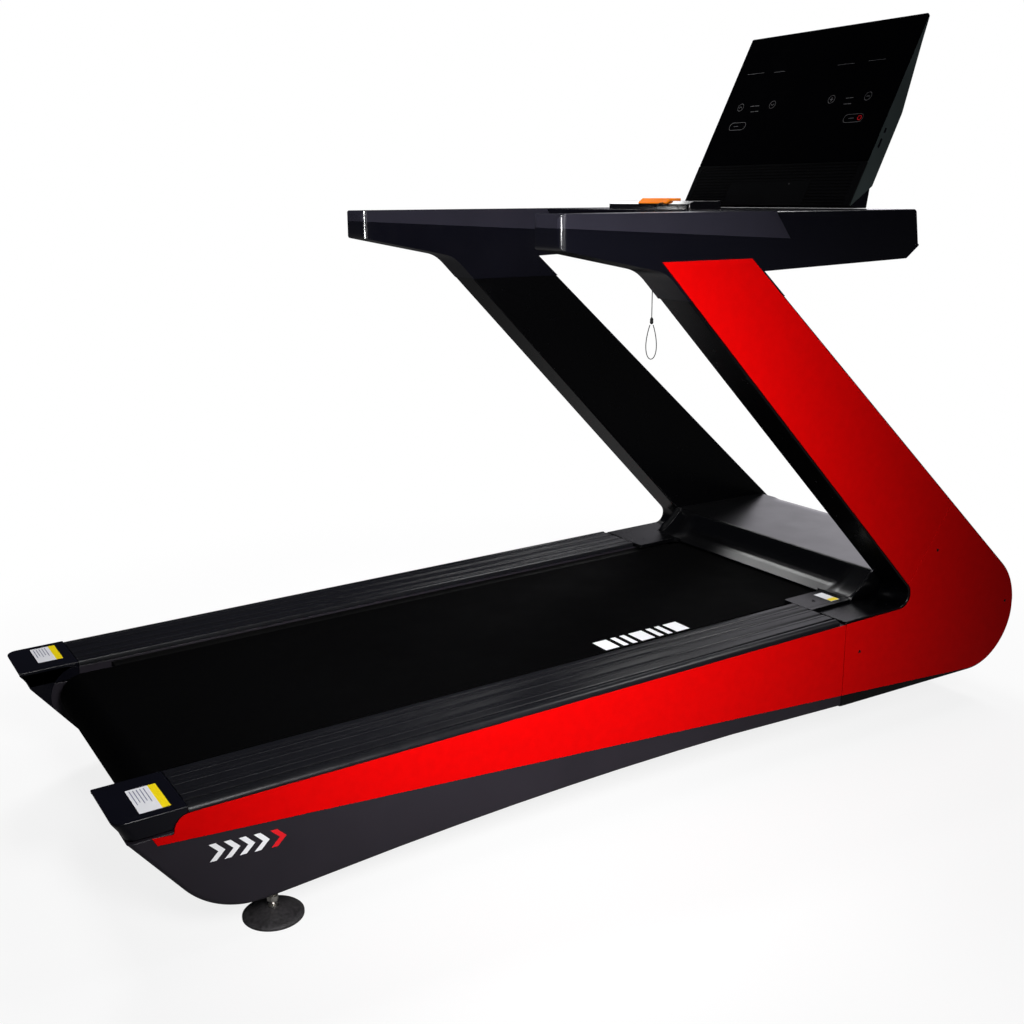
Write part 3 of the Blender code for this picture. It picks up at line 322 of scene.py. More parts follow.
def stand_in(node, shape, material, width, segments=3, weighted=False, angle=32, kind="skin", sharp=35):
    """A piece that stands for a CAD node, with softened edges unless width is 0."""
    piece = finished(f"{node}_{kind}", shape, material, node, sharp=sharp)
    if width:
        soften(piece, width, segments, weighted, angle)
    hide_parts(node)


def cad_shape(node, tidy=True):
    """The CAD node's own shape as a bmesh, with flat faces joined."""
    shape = bmesh.new()
    shape.from_mesh(NODES[node].data)
    bmesh.ops.remove_doubles(shape, verts=shape.verts, dist=1e-5)
    if tidy:
        bmesh.ops.dissolve_limit(shape, angle_limit=math.radians(0.3), verts=shape.verts, edges=shape.edges)
    return shape


def refine(node, material, width, segments=2):
    """A piece of the CAD node's shape with rounded edges, in place of the node."""
    stand_in(node, cad_shape(node), material, width, segments)


def loops_of(edges):
    """Closed loops of vertices along a set of edges."""
    links = {}
    for edge in edges:
        first, second = edge.verts
        links.setdefault(first, []).append(second)
        links.setdefault(second, []).append(first)
    loops = []
    while links:
        start = next(iter(links))
        loop = [start]
        while True:
            ahead = [vert for vert in links.get(loop[-1], []) if vert not in loop[-2:]]
            nearest = ahead[0] if ahead else None
            if nearest is None or nearest is start:
                break
            loop.append(nearest)
        for vert in loop:
            links.pop(vert, None)
        loops.append(loop)
    return loops


def area_of(points):
    return sum(a[0] * b[1] - b[0] * a[1] for a, b in zip(points, points[1:] + points[:1])) / 2


def end_outline(node, side):
    """Outer outline of a CAD node's face at its highest (side 1) or lowest (side -1) y, as (x, z)."""
    shape = cad_shape(node, tidy=False)
    level = max(side * vert.co.y for vert in shape.verts)
    flat = {face for face in shape.faces if all(side * vert.co.y > level - 2e-5 for vert in face.verts)}
    rim = [edge for edge in shape.edges if sum(face in flat for face in edge.link_faces) == 1]
    outlines = [[(vert.co.x, vert.co.z) for vert in loop] for loop in loops_of(rim)]
    shape.free()
    outline = max(outlines, key=lambda points: abs(area_of(points)))
    return outline if area_of(outline) > 0 else outline[::-1]


def turn_at(before, here, after):
    """Angle by which an outline turns at a point, in degrees."""
    first = Vector(here) - Vector(before)
    second = Vector(after) - Vector(here)
    return math.degrees(first.angle(second, 0.0))


def smoothed(outline, limit=20.0, step=3.0):
    """The outline with finer steps along its curves; a curve turns by less than limit at each point."""
    count = len(outline)
    points = [Vector(point) for point in outline]
    limits = [(min(values), max(values)) for values in zip(*outline)]
    turns = [turn_at(points[i - 1], points[i], points[(i + 1) % count]) for i in range(count)]
    curved = [0.5 < turn < limit for turn in turns]
    result = []
    for i in range(count):
        j = (i + 1) % count
        start, end = points[i], points[j]
        result.append(tuple(start))
        if not (curved[i] and curved[j]):
            continue
        tangents = []
        for k in (i, j):
            back, ahead = points[k] - points[k - 1], points[(k + 1) % count] - points[k]
            if back.length > 3 * ahead.length:
                tangents.append(back.normalized())
            elif ahead.length > 3 * back.length:
                tangents.append(ahead.normalized())
            else:
                tangents.append((back.normalized() + ahead.normalized()).normalized())
        span = (end - start).length
        parts = max(2, math.ceil(max(turns[i], turns[j]) / step))
        for part in range(1, parts):
            t = part / parts
            result.append(tuple(
                start * (2 * t ** 3 - 3 * t ** 2 + 1) + tangents[0] * span * (t ** 3 - 2 * t ** 2 + t)
                + end * (3 * t ** 2 - 2 * t ** 3) + tangents[1] * span * (t ** 3 - t ** 2)))
    return [tuple(min(max(value, low), high) for value, (low, high) in zip(point, limits)) for point in result]


def prism(outline, low, high, axis="Y"):
    """A straight solid along Y from an (x, z) outline, or along Z from an (x, y) outline."""
    if axis == "Y":
        return loft([[(x, along, z) for x, z in outline] for along in (low, high)])
    return loft([[(x, y, along) for x, y in outline] for along in (low, high)])


def extruded(node, side=1):
    """A CAD node's smoothed end outline, run across its own width."""
    low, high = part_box(node)
    return prism(smoothed(end_outline(node, side)), low.y, high.y)


def reach(node):
    """A node's corners, and its least and greatest distance from the middle plane."""
    low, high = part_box(node)
    return low, high, min(abs(low.y), abs(high.y)), max(abs(low.y), abs(high.y))


def weigh(shape, rule):
    """Bevel weights for the sharp edges of a shape: rule gets an edge's middle and its two ends."""
    layer = shape.edges.layers.float.new("bevel_weight_edge")
    shape.normal_update()
    for edge in shape.edges:
        if edge.calc_face_angle(0.0) > math.radians(25):
            first, second = (vert.co for vert in edge.verts)
            edge[layer] = rule((first + second) / 2, first, second)
    return shape


def round_end(shape, radius, steps=6):
    """Round off both upright corners at the end of a shape with the lowest x."""
    rear = min(vert.co.x for vert in shape.verts)
    middle = sum(vert.co.y for vert in shape.verts) / len(shape.verts)
    for step in range(1, steps + 1):
        at = rear + radius * (1 - math.cos(math.pi / 2 * step / steps))
        bmesh.ops.bisect_plane(shape, geom=shape.verts[:] + shape.edges[:] + shape.faces[:], dist=1e-6,
                               plane_co=(at, 0, 0), plane_no=(1, 0, 0))
    for vert in shape.verts:
        reach = rear + radius - vert.co.x
        if reach > 0:
            inset = radius - math.sqrt(max(radius ** 2 - reach ** 2, 0))
            vert.co.y -= math.copysign(inset, vert.co.y - middle)


def rounded_polygon(corners, steps=5):
    """Corners are (x, y, radius); round corners become arcs."""
    outline = []
    count = len(corners)
    for index, (x, y, radius) in enumerate(corners):
        if radius == 0:
            outline.append((x, y))
            continue
        here = Vector((x, y))
        before, after = Vector(corners[index - 1][:2]), Vector(corners[(index + 1) % count][:2])
        back, ahead = (before - here).normalized(), (after - here).normalized()
        half = back.angle(ahead) / 2
        reach = radius / math.tan(half)
        centre = here + (back + ahead).normalized() * radius / math.sin(half)
        start, end = here + back * reach - centre, here + ahead * reach - centre
        sweep = start.angle_signed(end)
        for step in range(steps + 1):
            angle = -sweep * step / steps
            spin = Matrix.Rotation(angle, 2)
            outline.append(tuple(centre + spin @ start))
    return outline


def rectangle(x0, x1, y0, y1):
    return [(x0, y0), (x1, y0), (x1, y1), (x0, y1)]


def rounded_box(x0, x1, y0, y1, radius):
    """Outline of a rectangle with small rounded corners."""
    return rounded_polygon([(*corner, radius) for corner in rectangle(x0, x1, y0, y1)], 3)


def revolved(profile, centre, axis, segments):
    """A turned solid: profile points are (radius, along), closed on the axis where radius is 0."""
    shape = bmesh.new()
    centre = Vector(centre)
    rings = []
    for radius, along in profile:
        ring = []
        for step in range(segments if radius > 0 else 1):
            angle = math.tau * step / segments
            first, second = radius * math.cos(angle), radius * math.sin(angle)
            offset = (first, along, second) if axis == "Y" else (first, second, along)
            ring.append(shape.verts.new(centre + Vector(offset)))
        rings.append(ring)
    closed = profile[0][0] > 0
    pairs = list(zip(rings, rings[1:])) + ([(rings[-1], rings[0])] if closed else [])
    for first, second in pairs:
        for step in range(segments):
            after = (step + 1) % segments
            corners = [first[step % len(first)], first[after % len(first)], second[after % len(second)],
                       second[step % len(second)]]
            shape.faces.new(list(dict.fromkeys(corners)))
    return shape


def join(target, extra):
    """Add one bmesh to another."""
    mesh = bpy.data.meshes.new("joined")
    extra.to_mesh(mesh)
    extra.free()
    target.from_mesh(mesh)
    bpy.data.meshes.remove(mesh)
    return target


# ---- the safety cord
STATION_0 = CAD_BOX[0].x            # the rear end of the machine: route points are measured from it
CORD_DIAMETER = 0.002
CORD_ROUTE = [
    (1.3863, -0.06, 1.2228), (1.379, -0.065, 1.2232), (1.368, -0.071, 1.2224),
    (1.3575, -0.077, 1.2185), (1.35, -0.079, 1.2085), (1.3465, -0.08, 1.193),
    (1.3455, -0.08, 1.15), (1.3455, -0.08, 1.09), (1.3455, -0.08, 1.03),
    (1.3455, -0.08, 0.9755),
]
KNOT_HEIGHT = 0.972
LOOP_DROP = 0.088
LOOP_SWELL = 0.0155
LOOP_AXIS = (0.853, -0.522)


def loop_point(turn):
    """Teardrop loop below the knot; turn runs from 0 to 1."""
    swing = LOOP_SWELL * math.sin(math.tau * turn) * math.sin(math.pi * turn)
    drop = LOOP_DROP * math.sin(math.pi * turn) ** 2
    x, y, _ = CORD_ROUTE[-1]
    return Vector((STATION_0 + x + swing * LOOP_AXIS[0], y + swing * LOOP_AXIS[1], KNOT_HEIGHT - 0.0035 - drop))


def smooth_route(points, parts=12):
    """Points along a smooth curve through the route's own points."""
    points = [Vector(point) for point in points]
    ends = [points[0], *points, points[-1]]
    result = []
    for before, start, end, after in zip(ends, ends[1:], ends[2:], ends[3:]):
        for part in range(parts):
            t = part / parts
            square = 2 * before - 5 * start + 4 * end - after
            cube = 3 * start - before - 3 * end + after
            result.append((2 * start + (end - before) * t + square * t ** 2 + cube * t ** 3) / 2)
    return result + [points[-1]]


def make_cord_piece(name, points, node, exit_point):
    data = bpy.data.curves.new(name, "CURVE")
    data.dimensions = "3D"
    data.bevel_depth = CORD_DIAMETER / 2
    data.bevel_resolution = 4
    data.use_fill_caps = True
    data.materials.append(CORD)
    spline = data.splines.new("POLY")
    spline.points.add(len(points) - 1)
    for target, point in zip(spline.points, points):
        target.co = (*point, 1)
    piece = placed(name, data)
    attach(piece, BODY_OF[node])
    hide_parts(node)
    length = sum((b - a).length for a, b in zip(points, points[1:]))
    tuple(exit_point)


def make_cords():
    """The safety cord hangs from the key and ends in a knot and a hand loop."""
    route = [(STATION_0 + x, y, z) for x, y, z in CORD_ROUTE]
    start = 0.115
    count = 60
    loop = [loop_point(start + (1 - 2 * start) * step / count) for step in range(count + 1)]
    low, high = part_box("cord_knot")
    middle = (low + high) / 2
    half = (high.z - low.z) / 2
    wide = (high.x - low.x) / 2 * 0.95
    profile = [(0, half), (0.0014, half * 0.97), (0.0024, half * 0.72), (wide * 0.92, half * 0.45),
               (wide, half * 0.15), (wide * 0.86, -0.0004), (wide, -half * 0.22), (wide * 0.97, -half * 0.6),
               (wide * 0.62, -half * 0.92), (0, -half)]
    knot = finished("safety_cord_knot", revolved(profile, middle, "Z", 24), CORD, "cord_knot", sharp=60)
    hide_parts("cord_knot")
    make_cord_piece("safety_cord_line", smooth_route(route), "safety_cord", route[0])
    make_cord_piece("safety_cord_hand_loop", loop, "safety_cord_loop", loop[0])


# ---- casings and panels
def make_side_shells():
    for side, sign in SIDES:
        node = f"{side}_side_shell"
        _, high, _, width = reach(node)

        def rule(middle, first, second, seam=high.x, outer=sign * width):
            if min(first.x, second.x) > seam - ON_PLANE:
                return 0.06
            if abs(middle.y - outer) > 0.001:
                return 0.12
            flat = abs(first.z - second.z) < 0.04 * abs(first.x - second.x) + 0.0002
            return 0.12 if flat and middle.z > 0.23 else 1.0

        stand_in(node, weigh(extruded(node, sign), rule), CASING, 0.009, 5, weighted=True)
        make_panel(f"{side}_side_panel", sign)
        make_chevrons(side, sign)


def make_panel(node, sign):
    """A thin red panel with softly rounded edges."""
    low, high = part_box(node)
    inner, outer = sorted((low.y, high.y), key=abs)
    near, far = sorted((inner, outer - sign * 0.0002))
    outline = [(x + 0.0009 if x < low.x + 0.0005 else x, z) for x, z in smoothed(end_outline(node, sign))]
    stand_in(node, prism(outline, near, far), RED, 0.0005)


def make_chevrons(side, sign):
    """Plain printed chevrons near the rear end of the casing, the last one red."""
    node = f"{side}_side_shell"
    low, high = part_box(node)
    level = high.y if sign > 0 else low.y
    near, far = sorted((level + sign * 0.00003, level + sign * 0.00022))
    half, width, lean, pitch, fall = 0.016, 0.012, 0.016, 0.026, 0.0013

    def chevron(index, gap=0.0):
        x, z = STATION_0 + 0.15 + index * pitch + gap, 0.183 - index * fall
        return prism([(x, z - half), (x + width, z - half), (x + width + lean, z), (x + width, z + half),
                      (x, z + half), (x + lean, z)], near, far)

    row = bmesh.new()
    for index in range(4):
        join(row, chevron(index))
    finished(f"{side}_casing_chevrons", row, WHITE_INK, node, sharp=20)
    finished(f"{side}_casing_chevron_red", chevron(4, 0.004), RED_INK, node, sharp=20)


def make_upright_covers():
    for side, sign in SIDES:
        node = f"{side}_upright_cover"
        low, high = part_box(node)

        def rule(middle, first, second, seam=low.x, joint=high.z):
            on_joint = max(first.x, second.x) < seam + ON_PLANE or min(first.z, second.z) > joint - ON_PLANE
            return 0.08 if on_joint else 1.0

        stand_in(node, weigh(extruded(node, -sign), rule), POST_PAINTED_SHADE, 0.004, 4, weighted=True)
        for panel in ("elbow_panel", "upright_panel"):
            make_panel(f"{side}_{panel}", sign)
        make_plugs(side, sign)


def make_plugs(side, sign):
    """Small round plugs over the fixings of the red elbow panel."""
    node = f"{side}_elbow_panel"
    low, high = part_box(node)
    level = high.y if sign > 0 else low.y
    shape = bmesh.new()
    for x, z in ((1.6658, 0.234), (1.903, 0.4364), (2.1662, 0.2662)):
        profile = [(0, -0.0001), (0.0016, -0.0001), (0.0022, 0.0), (0.003, 0.0), (0.0036, -0.0001),
                   (0.0036, -0.0016), (0, -0.0016)]
        at = (STATION_0 + x, level, z)
        join(shape, revolved([(radius, sign * along) for radius, along in profile], at, "Y", 24))
    finished(f"{side}_panel_plugs", shape, BLACK, f"{side}_upright_cover")


# ---- hood and rail covers
def top_of(outline, x):
    """Highest z of an outline at x."""
    heights = []
    for start, end in zip(outline, outline[1:] + outline[:1]):
        low, high = sorted((start[0], end[0]))
        if low <= x <= high and high - low > 1e-7:
            part = (x - start[0]) / (end[0] - start[0])
            heights.append(start[1] + part * (end[1] - start[1]))
    return max(heights)


def ease(value):
    value = min(max(value, 0.0), 1.0)
    return value * value * (3 - 2 * value)


RAIL_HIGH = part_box("left_foot_rail")[1]
DECK_SLOPE = ((JOINT_AT["front_roller_spin"].z - JOINT_AT["rear_roller_spin"].z)
              / (JOINT_AT["front_roller_spin"].x - JOINT_AT["rear_roller_spin"].x))


def rail_top(x):
    """Height of the foot rails' top at x."""
    return RAIL_HIGH.z + DECK_SLOPE * (x - RAIL_HIGH.x)


SEAM_Y = 0.352                      # joint between the hood's mouldings and the strip along the upright


def make_hood():
    """The motor hood: flat top, concave slope down to the belt, longer slope beside the rail ends."""
    low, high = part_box("motor_hood")
    outline = end_outline("motor_hood", 1)
    inner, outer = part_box("left_rail_cover")[0].y, high.y
    crease = low.x + 0.07
    xs = [low.x + 0.0002 + (crease + 0.012 - low.x) * step / 44 for step in range(45)]
    xs += [crease + 0.03 + (high.x - 0.006 - crease - 0.03) * step / 16 for step in range(17)]
    xs += [high.x - 0.004, high.x - 0.0022, high.x - 0.001, high.x - 0.0001]
    half = [inner * step / 24 for step in range(1, 25)]
    half += [inner + (SEAM_Y - 0.0016 - inner) * step / 20 for step in range(1, 21)]
    half += [SEAM_Y + offset for offset in (-0.0008, -0.0003, 0.0003, 0.0008, 0.0016)]
    half += [outer - 0.006, outer - 0.003, outer - 0.001, outer]
    ys = [-y for y in half[::-1]] + [0.0] + half

    def height(x, y):
        centre = top_of(outline, x)
        start = rail_top(low.x) - 0.001
        rise = (x - low.x) / 0.077
        ramp = start + (high.z - start) * (0.35 * ease(rise) + 0.65 * min(max(rise, 0), 1) ** 2)
        beside = max(ramp, centre if x > crease + 0.04 else 0)
        z = centre + (beside - centre) * ease((abs(y) - inner + 0.01) / 0.045)
        strip = 0.01 * ease((abs(y) - SEAM_Y) / 0.012) * ease((x - low.x) / 0.02)
        groove = 0.0012 if abs(abs(y) - SEAM_Y) < 0.0005 else 0
        return min(z + strip, high.z) - groove

    shape = bmesh.new()
    grid = [[shape.verts.new((x, y, height(x, y))) for y in ys] for x in xs]
    for row, ahead in zip(grid, grid[1:]):
        for index in range(len(ys) - 1):
            shape.faces.new((row[index], ahead[index], ahead[index + 1], row[index + 1]))
    for edge in (0, -1):
        skirt = [shape.verts.new((row[edge].co.x, row[edge].co.y, low.z + 0.0005)) for row in grid]
        for index in range(len(grid) - 1):
            shape.faces.new((grid[index][edge], grid[index + 1][edge], skirt[index + 1], skirt[index]))
    piece = finished("motor_hood_skin", shape, HOOD_PAINTED_SHADE, "motor_hood", sharp=50)
    thick = piece.modifiers.new("wall", "SOLIDIFY")
    thick.thickness = 0.002
    thick.offset = -1
    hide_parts("motor_hood")
    at = (STATION_0 + 1.895, -0.0167, high.z)
    dimple = [(0, -0.0022), (0.003, -0.0022), (0.0042, -0.0012), (0.0062, 0.0001), (0.008, 0.0003),
              (0.0092, 0.0), (0.0092, -0.003), (0, -0.003)]
    ring = revolved([(radius, min(along, -0.00002)) for radius, along in dimple], at, "Z", 32)
    finished("hood_screw_cup", ring, BLACK, "motor_hood")


def make_rail_covers():
    """Flat moulded covers at the front of the foot rails, curved in to meet the hood's lip."""
    for side, sign in SIDES:
        node = f"{side}_rail_cover"
        low, high, inner, outer = reach(node)
        fillet = 0.016
        plan = [(low.x, SEAM_Y - 0.0005), (high.x, SEAM_Y - 0.0005), (high.x, inner - fillet)]
        centre = Vector((high.x - fillet, inner - fillet))
        for step in range(1, 9):
            angle = math.pi / 2 * step / 9
            plan.append((centre.x + fillet * math.cos(angle), centre.y + fillet * math.sin(angle)))
        plan += [(high.x - fillet, inner), (low.x + 0.004, inner), (low.x, inner + 0.004)]
        strip = [(low.x, outer), (high.x, outer), (high.x, SEAM_Y + 0.0005), (low.x, SEAM_Y + 0.0005)]
        shape = join(deck_plate(plan, sign, -0.0006, -0.0105), deck_plate(strip, sign, -0.0006, -0.0105))
        stand_in(node, shape, POST_PAINTED_SHADE, 0.001)
        x, y = STATION_0 + 1.651, sign * 0.323
        screw = [(0, 0.0002), (0.0016, 0.0002), (0.0018, 0.0014), (0.0034, 0.0012), (0.004, 0.0), (0.004, -0.0004),
                 (0, -0.0004)]
        finished(f"{side}_rail_cover_screw", revolved(screw, (x, y, rail_top(x) - 0.0004), "Z", 24), BLACK, node)
    make_sticker("rail_cover_sticker", 1.6815, 1.708, -0.293, -0.35, 0.3, -0.0005, "right_rail_cover",
                 along_y=True)


def deck_plate(outline, sign, top, base):
    """A flat solid on the deck's slope from an (x, |y|) outline, between two heights off the rails' top."""
    return loft([[(x, sign * y, rail_top(x) + level) for x, y in outline] for level in (top, base)])


def make_sticker(name, rear, front, inner, outer, band, lift, node, along_y=False):
    """A blank white sticker with a yellow band and plain grey lines, on the deck's slope.

    rear and front are stations; band is the yellow share of its length.
    """
    near, far = sorted((inner, outer))

    def plate(x0, x1, y0, y1, height):
        x0, x1 = STATION_0 + x0, STATION_0 + x1
        return deck_plate(rounded_box(x0, x1, y0, y1, 0.0006), 1, lift + height, lift - 0.0001)

    finished(name, plate(rear, front, near, far, 0.00012), STICKER, node, sharp=20)
    if along_y:
        split = near + (far - near) * band
        cover = plate(rear + 0.001, front - 0.001, near + 0.001, split, 0.0002)
        finished(f"{name}_band", cover, YELLOW_INK, node, sharp=20)
        return
    split = front - (front - rear) * band
    finished(f"{name}_band", plate(split, front, near, far, 0.0002), YELLOW_INK, node, sharp=20)
    lines = bmesh.new()
    for index in range(5):
        x = rear + 0.005 + index * (split - rear - 0.008) / 5
        run = (far - near) * (0.52 if index % 2 else 0.6)
        join(lines, plate(x, x + 0.0016, far - 0.006 - run, far - 0.006, 0.0002))
    finished(f"{name}_lines", lines, TEXT_GREY, node, sharp=20)


# ---- running deck
def make_foot_rails():
    """Ribbed extrusion: soft grooves, a dark channel and a rounded bright nose."""
    for side, sign in SIDES:
        node = f"{side}_foot_rail"
        low, high, inner, outer = reach(node)
        profile = [(inner, -0.01), (inner, -0.0022), (inner + 0.0006, -0.0008), (inner + 0.0022, 0.0)]
        for centre in (inner + 0.022, inner + 0.054, inner + 0.094):
            half, depth = 0.0065, 0.002
            for step in range(13):
                part = step / 12
                sink = depth * (1 - math.cos(math.tau * part)) / 2
                profile.append((centre - half + 2 * half * part, -sink))
            profile += [(centre + half + 0.0045, 0.0), (centre + half + 0.0052, -0.0007),
                        (centre + half + 0.0066, -0.0007), (centre + half + 0.0073, 0.0)]
        channel = inner + 0.127
        profile += [(channel - 0.0012, 0.0), (channel, -0.001), (channel + 0.0002, -0.0046),
                    (channel + 0.0052, -0.0046), (channel + 0.0058, -0.0016), (channel + 0.0072, -0.0003)]
        nose = outer - channel - 0.01
        for step in range(1, 13):
            angle = math.pi / 2 * step / 12
            profile.append((channel + 0.01 + nose * math.sin(angle), -0.0118 * (1 - math.cos(angle))))
        profile += [(outer - 0.003, -0.0118), (outer - 0.008, -0.0066), (inner + 0.0025, -0.0066),
                    (inner + 0.0025, -0.01)]
        shape = loft([[(x, sign * y, rail_top(x) + z) for y, z in profile]
                      for x in (low.x + 0.0003, high.x - 0.0003)])
        stand_in(node, shape, RAIL, 0, sharp=28)


def make_end_caps():
    """Moulded ends of the foot rails: a plate with a rounded outer corner over a flank cut round the roller."""
    for side, sign in SIDES:
        node = f"{side}_end_cap"
        low, high, inner, outer = reach(node)
        corner = 0.022
        plan = [(high.x, inner), (high.x, outer)]
        for step in range(9):
            angle = math.pi / 2 * step / 8
            plan.append((low.x + corner - corner * math.sin(angle), outer - corner + corner * math.cos(angle)))
        plan.append((low.x, inner))
        levels = ((0.0, 0.0, 0.0), (-0.0042, 0.0, 0.0), (-0.026, 0.0145, 0.002), (-0.0365, 0.0185, 0.003))
        shape = loft([[(x + back * (high.x - x) / (high.x - low.x),
                        sign * (y - tuck * (y - inner) / (outer - inner)),
                        rail_top(x) + drop - (0 if drop else 0.0002)) for x, y in plan]
                      for drop, back, tuck in levels])
        stand_in(node, shape, BLACK, 0.0018, 3, angle=24, kind="plate", sharp=30)
        outline = smoothed(end_outline(node, -sign))
        near, far = sorted((sign * inner, sign * (inner + 0.004)))
        flank = [(x, min(z, rail_top(x) - 0.006)) for x, z in outline]
        soften(finished(f"{node}_flank", prism(flank, near, far), BLACK, node), 0.0008, 2)
    for side, sign in SIDES[::-1]:
        make_sticker(f"{side}_cap_sticker", 0.047, 0.0985, sign * 0.348, sign * 0.44, 0.27, 0.0, f"{side}_end_cap")


def make_belt():
    """The running belt round its rollers, with a row of plain white bars."""
    rear, front = JOINT_AT["rear_roller_spin"], JOINT_AT["front_roller_spin"]
    low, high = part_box("running_belt")
    outer = (high.x - front.x) - 0.0002
    wall = 0.0025
    lean = math.atan(DECK_SLOPE)
    sections = []
    for radius, y in ((outer, low.y), (outer, high.y), (outer - wall, high.y), (outer - wall, low.y)):
        section = []
        for centre, start in ((front, -math.pi / 2), (rear, math.pi / 2)):
            for step in range(33):
                angle = lean + start + math.pi * step / 32
                section.append((centre.x + radius * math.cos(angle), y, centre.z + radius * math.sin(angle)))
        sections.append(section)
    stand_in("running_belt", loft(sections, ends=False), BELT, 0.0006, 2)

    def belt_top(x):
        return front.z + DECK_SLOPE * (x - front.x) + outer / math.cos(lean)

    bars = bmesh.new()
    length, gap = 0.052, 0.012
    x = STATION_0 + 1.097
    for width in (0.036, 0.0125, 0.0125, 0.036, 0.0125, 0.0125, 0.036):
        mark = prism(rounded_box(x, x + width, -0.215 - length, -0.215, 0.001), 0, 0.00025, "Z")
        for vert in mark.verts:
            vert.co.z += belt_top(vert.co.x) - 0.00005
        join(bars, mark)
        x += width + gap
    finished("belt_bars", bars, WHITE_INK, "running_belt", sharp=20)


def mirrored(profile):
    """A turned profile from its half on one side of the middle."""
    return profile + [(radius, -along) for radius, along in profile[::-1]]


def make_wheels():
    for side, _ in SIDES:
        node = f"{side}_front_wheel"
        low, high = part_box(node)
        middle = (low + high) / 2
        radius = (high.z - low.z) / 2
        half = (high.y - low.y) / 2
        tyre = mirrored([(0.029, half * 0.8), (0.0335, half * 0.98), (radius - 0.005, half),
                         (radius - 0.0016, half * 0.82), (radius, half * 0.45)])
        stand_in(node, revolved(tyre, middle, "Y", 64), RUBBER, 0, kind="tyre")
        hub = mirrored([(0.0086, half), (0.0135, half), (0.0145, half * 0.55), (0.0235, half * 0.35),
                        (0.025, half * 0.86), (0.029, half * 0.86)])
        finished(f"{node}_hub", revolved(hub, middle, "Y", 64), CASING, node)


def make_feet():
    """Levelling feet: a moulded rubber pad, a threaded stem and a lock nut."""
    for side, _ in SIDES:
        node = f"{side}_foot"
        low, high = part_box(node)
        middle = (low + high) / 2
        base = Vector((middle.x, middle.y, low.z))
        radius = (high.x - low.x) / 2
        pad = [(0, 0.0), (radius - 0.0012, 0.0), (radius, 0.0012), (radius, 0.0048), (radius - 0.0016, 0.0064),
               (radius - 0.007, 0.0092), (radius - 0.0085, 0.0092), (radius - 0.018, 0.0128), (0.023, 0.0168),
               (0.016, 0.0184), (0.014, 0.0194), (0.0095, 0.0194), (0.008, 0.0184), (0, 0.0184)]
        stand_in(node, revolved(pad, base, "Z", 64), RUBBER, 0, kind="pad")
        stem = [(0, 0.018), (0.0052, 0.018), (0.0085, 0.0198), (0.0085, 0.0225), (0.0056, 0.024)]
        pitch = 0.0016
        for index in range(int((high.z - low.z - 0.025) / pitch) - 1):
            along = 0.0248 + index * pitch
            stem += [(0.006, along), (0.0053, along + pitch / 2)]
        stem += [(0.0052, high.z - low.z - 0.0005), (0, high.z - low.z)]
        finished(f"{node}_stem", revolved(stem, base, "Z", 24), CHROME, node, slot="chrome", sharp=25)
        outline = [(base.x + 0.0108 * math.cos(math.tau * k / 6), base.y + 0.0108 * math.sin(math.tau * k / 6))
                   for k in range(6)]
        nut = prism(outline, base.z + 0.03, base.z + 0.04, "Z")
        soften(finished(f"{node}_nut", nut, CHROME, node, slot="chrome"), 0.001, 2)


# ---- armrests and console
SPLIT_AT_REAR = 1.1845              # joint of the upper and lower shells at the armrests' rear end
SPLIT_FALL = 0.05256
ARM_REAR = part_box("left_armrest_upper")[0].x
UPRIGHT_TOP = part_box("left_armrest_lower")[0].z


def split_at(x):
    return SPLIT_AT_REAR - SPLIT_FALL * (x - ARM_REAR)


def closed_up(outline):
    """The outline with its points on the shells' joint moved up to meet the other shell."""
    return [(x, split_at(x) + 0.00026 if abs(z - split_at(x)) < 0.0001 else z) for x, z in outline]


def shell_rule(middle, first, second):
    """Full rounding on the outer edges, little on the joints between shells."""
    on_split = abs(middle.z - split_at(middle.x)) < 0.0015
    on_seam = abs(first.y - second.y) < 0.0005 and STATION_0 + 1.34 < middle.x < STATION_0 + 1.4
    on_seam = on_seam and abs(first.z - second.z) > 0.02
    on_post = middle.z < UPRIGHT_TOP + 0.001
    return 0.08 if on_split or on_seam or on_post else 1.0


def make_shell(node, side, material, corner=0.0):
    """An upper or lower shell of an armrest or of the console base."""
    low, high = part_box(node)
    outline = smoothed(end_outline(node, side))
    if node.endswith("lower"):
        outline = closed_up(outline)
    shape = prism(outline, low.y, high.y)
    if corner:
        round_end(shape, corner)
    stand_in(node, weigh(shape, shell_rule), material, 0.004, 4, weighted=True)


def make_armrests():
    for side, sign in SIDES:
        make_shell(f"{side}_armrest_upper", sign, UPPER_PAINTED_SHEEN, 0.014)
        make_shell(f"{side}_armrest_lower", sign, BLACK, 0.014)


def make_console():
    make_shell("console_upper", 1, BLACK)
    make_shell("console_lower", 1, BLACK)
    refine("console_neck", BLACK, 0.002, 3)
    pod = extruded("key_pod")
    round_end(pod, 0.009)
    stand_in("key_pod", pod, GLOSS, 0.0022, 4, angle=12)
    stand_in("safety_key", extruded("safety_key"), ORANGE, 0.0012, angle=20, kind="body")


# ---- display
DISPLAY_LEAN = math.radians(27.5)
GLASS_DEPTH = 0.005
GRILLE_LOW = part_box("console_grille")[0]
DISPLAY_FOOT = Vector((GRILLE_LOW.x, 0, GRILLE_LOW.z + GLASS_DEPTH * math.sin(DISPLAY_LEAN)))
GRILLE_LENGTH = (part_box("console_grille")[1].z - DISPLAY_FOOT.z) / math.cos(DISPLAY_LEAN)


def on_display(across, up, depth=0.0):
    """World place of a point across the screen, up its length and behind its face."""
    sine, cosine = math.sin(DISPLAY_LEAN), math.cos(DISPLAY_LEAN)
    return DISPLAY_FOOT + Vector((up * sine + depth * cosine, across, up * cosine - depth * sine))


def screen_plate(outline, front, back):
    """A thin solid on the display from an (across, up) outline."""
    return loft([[on_display(across, up, depth) for across, up in outline] for depth in (front, back)])


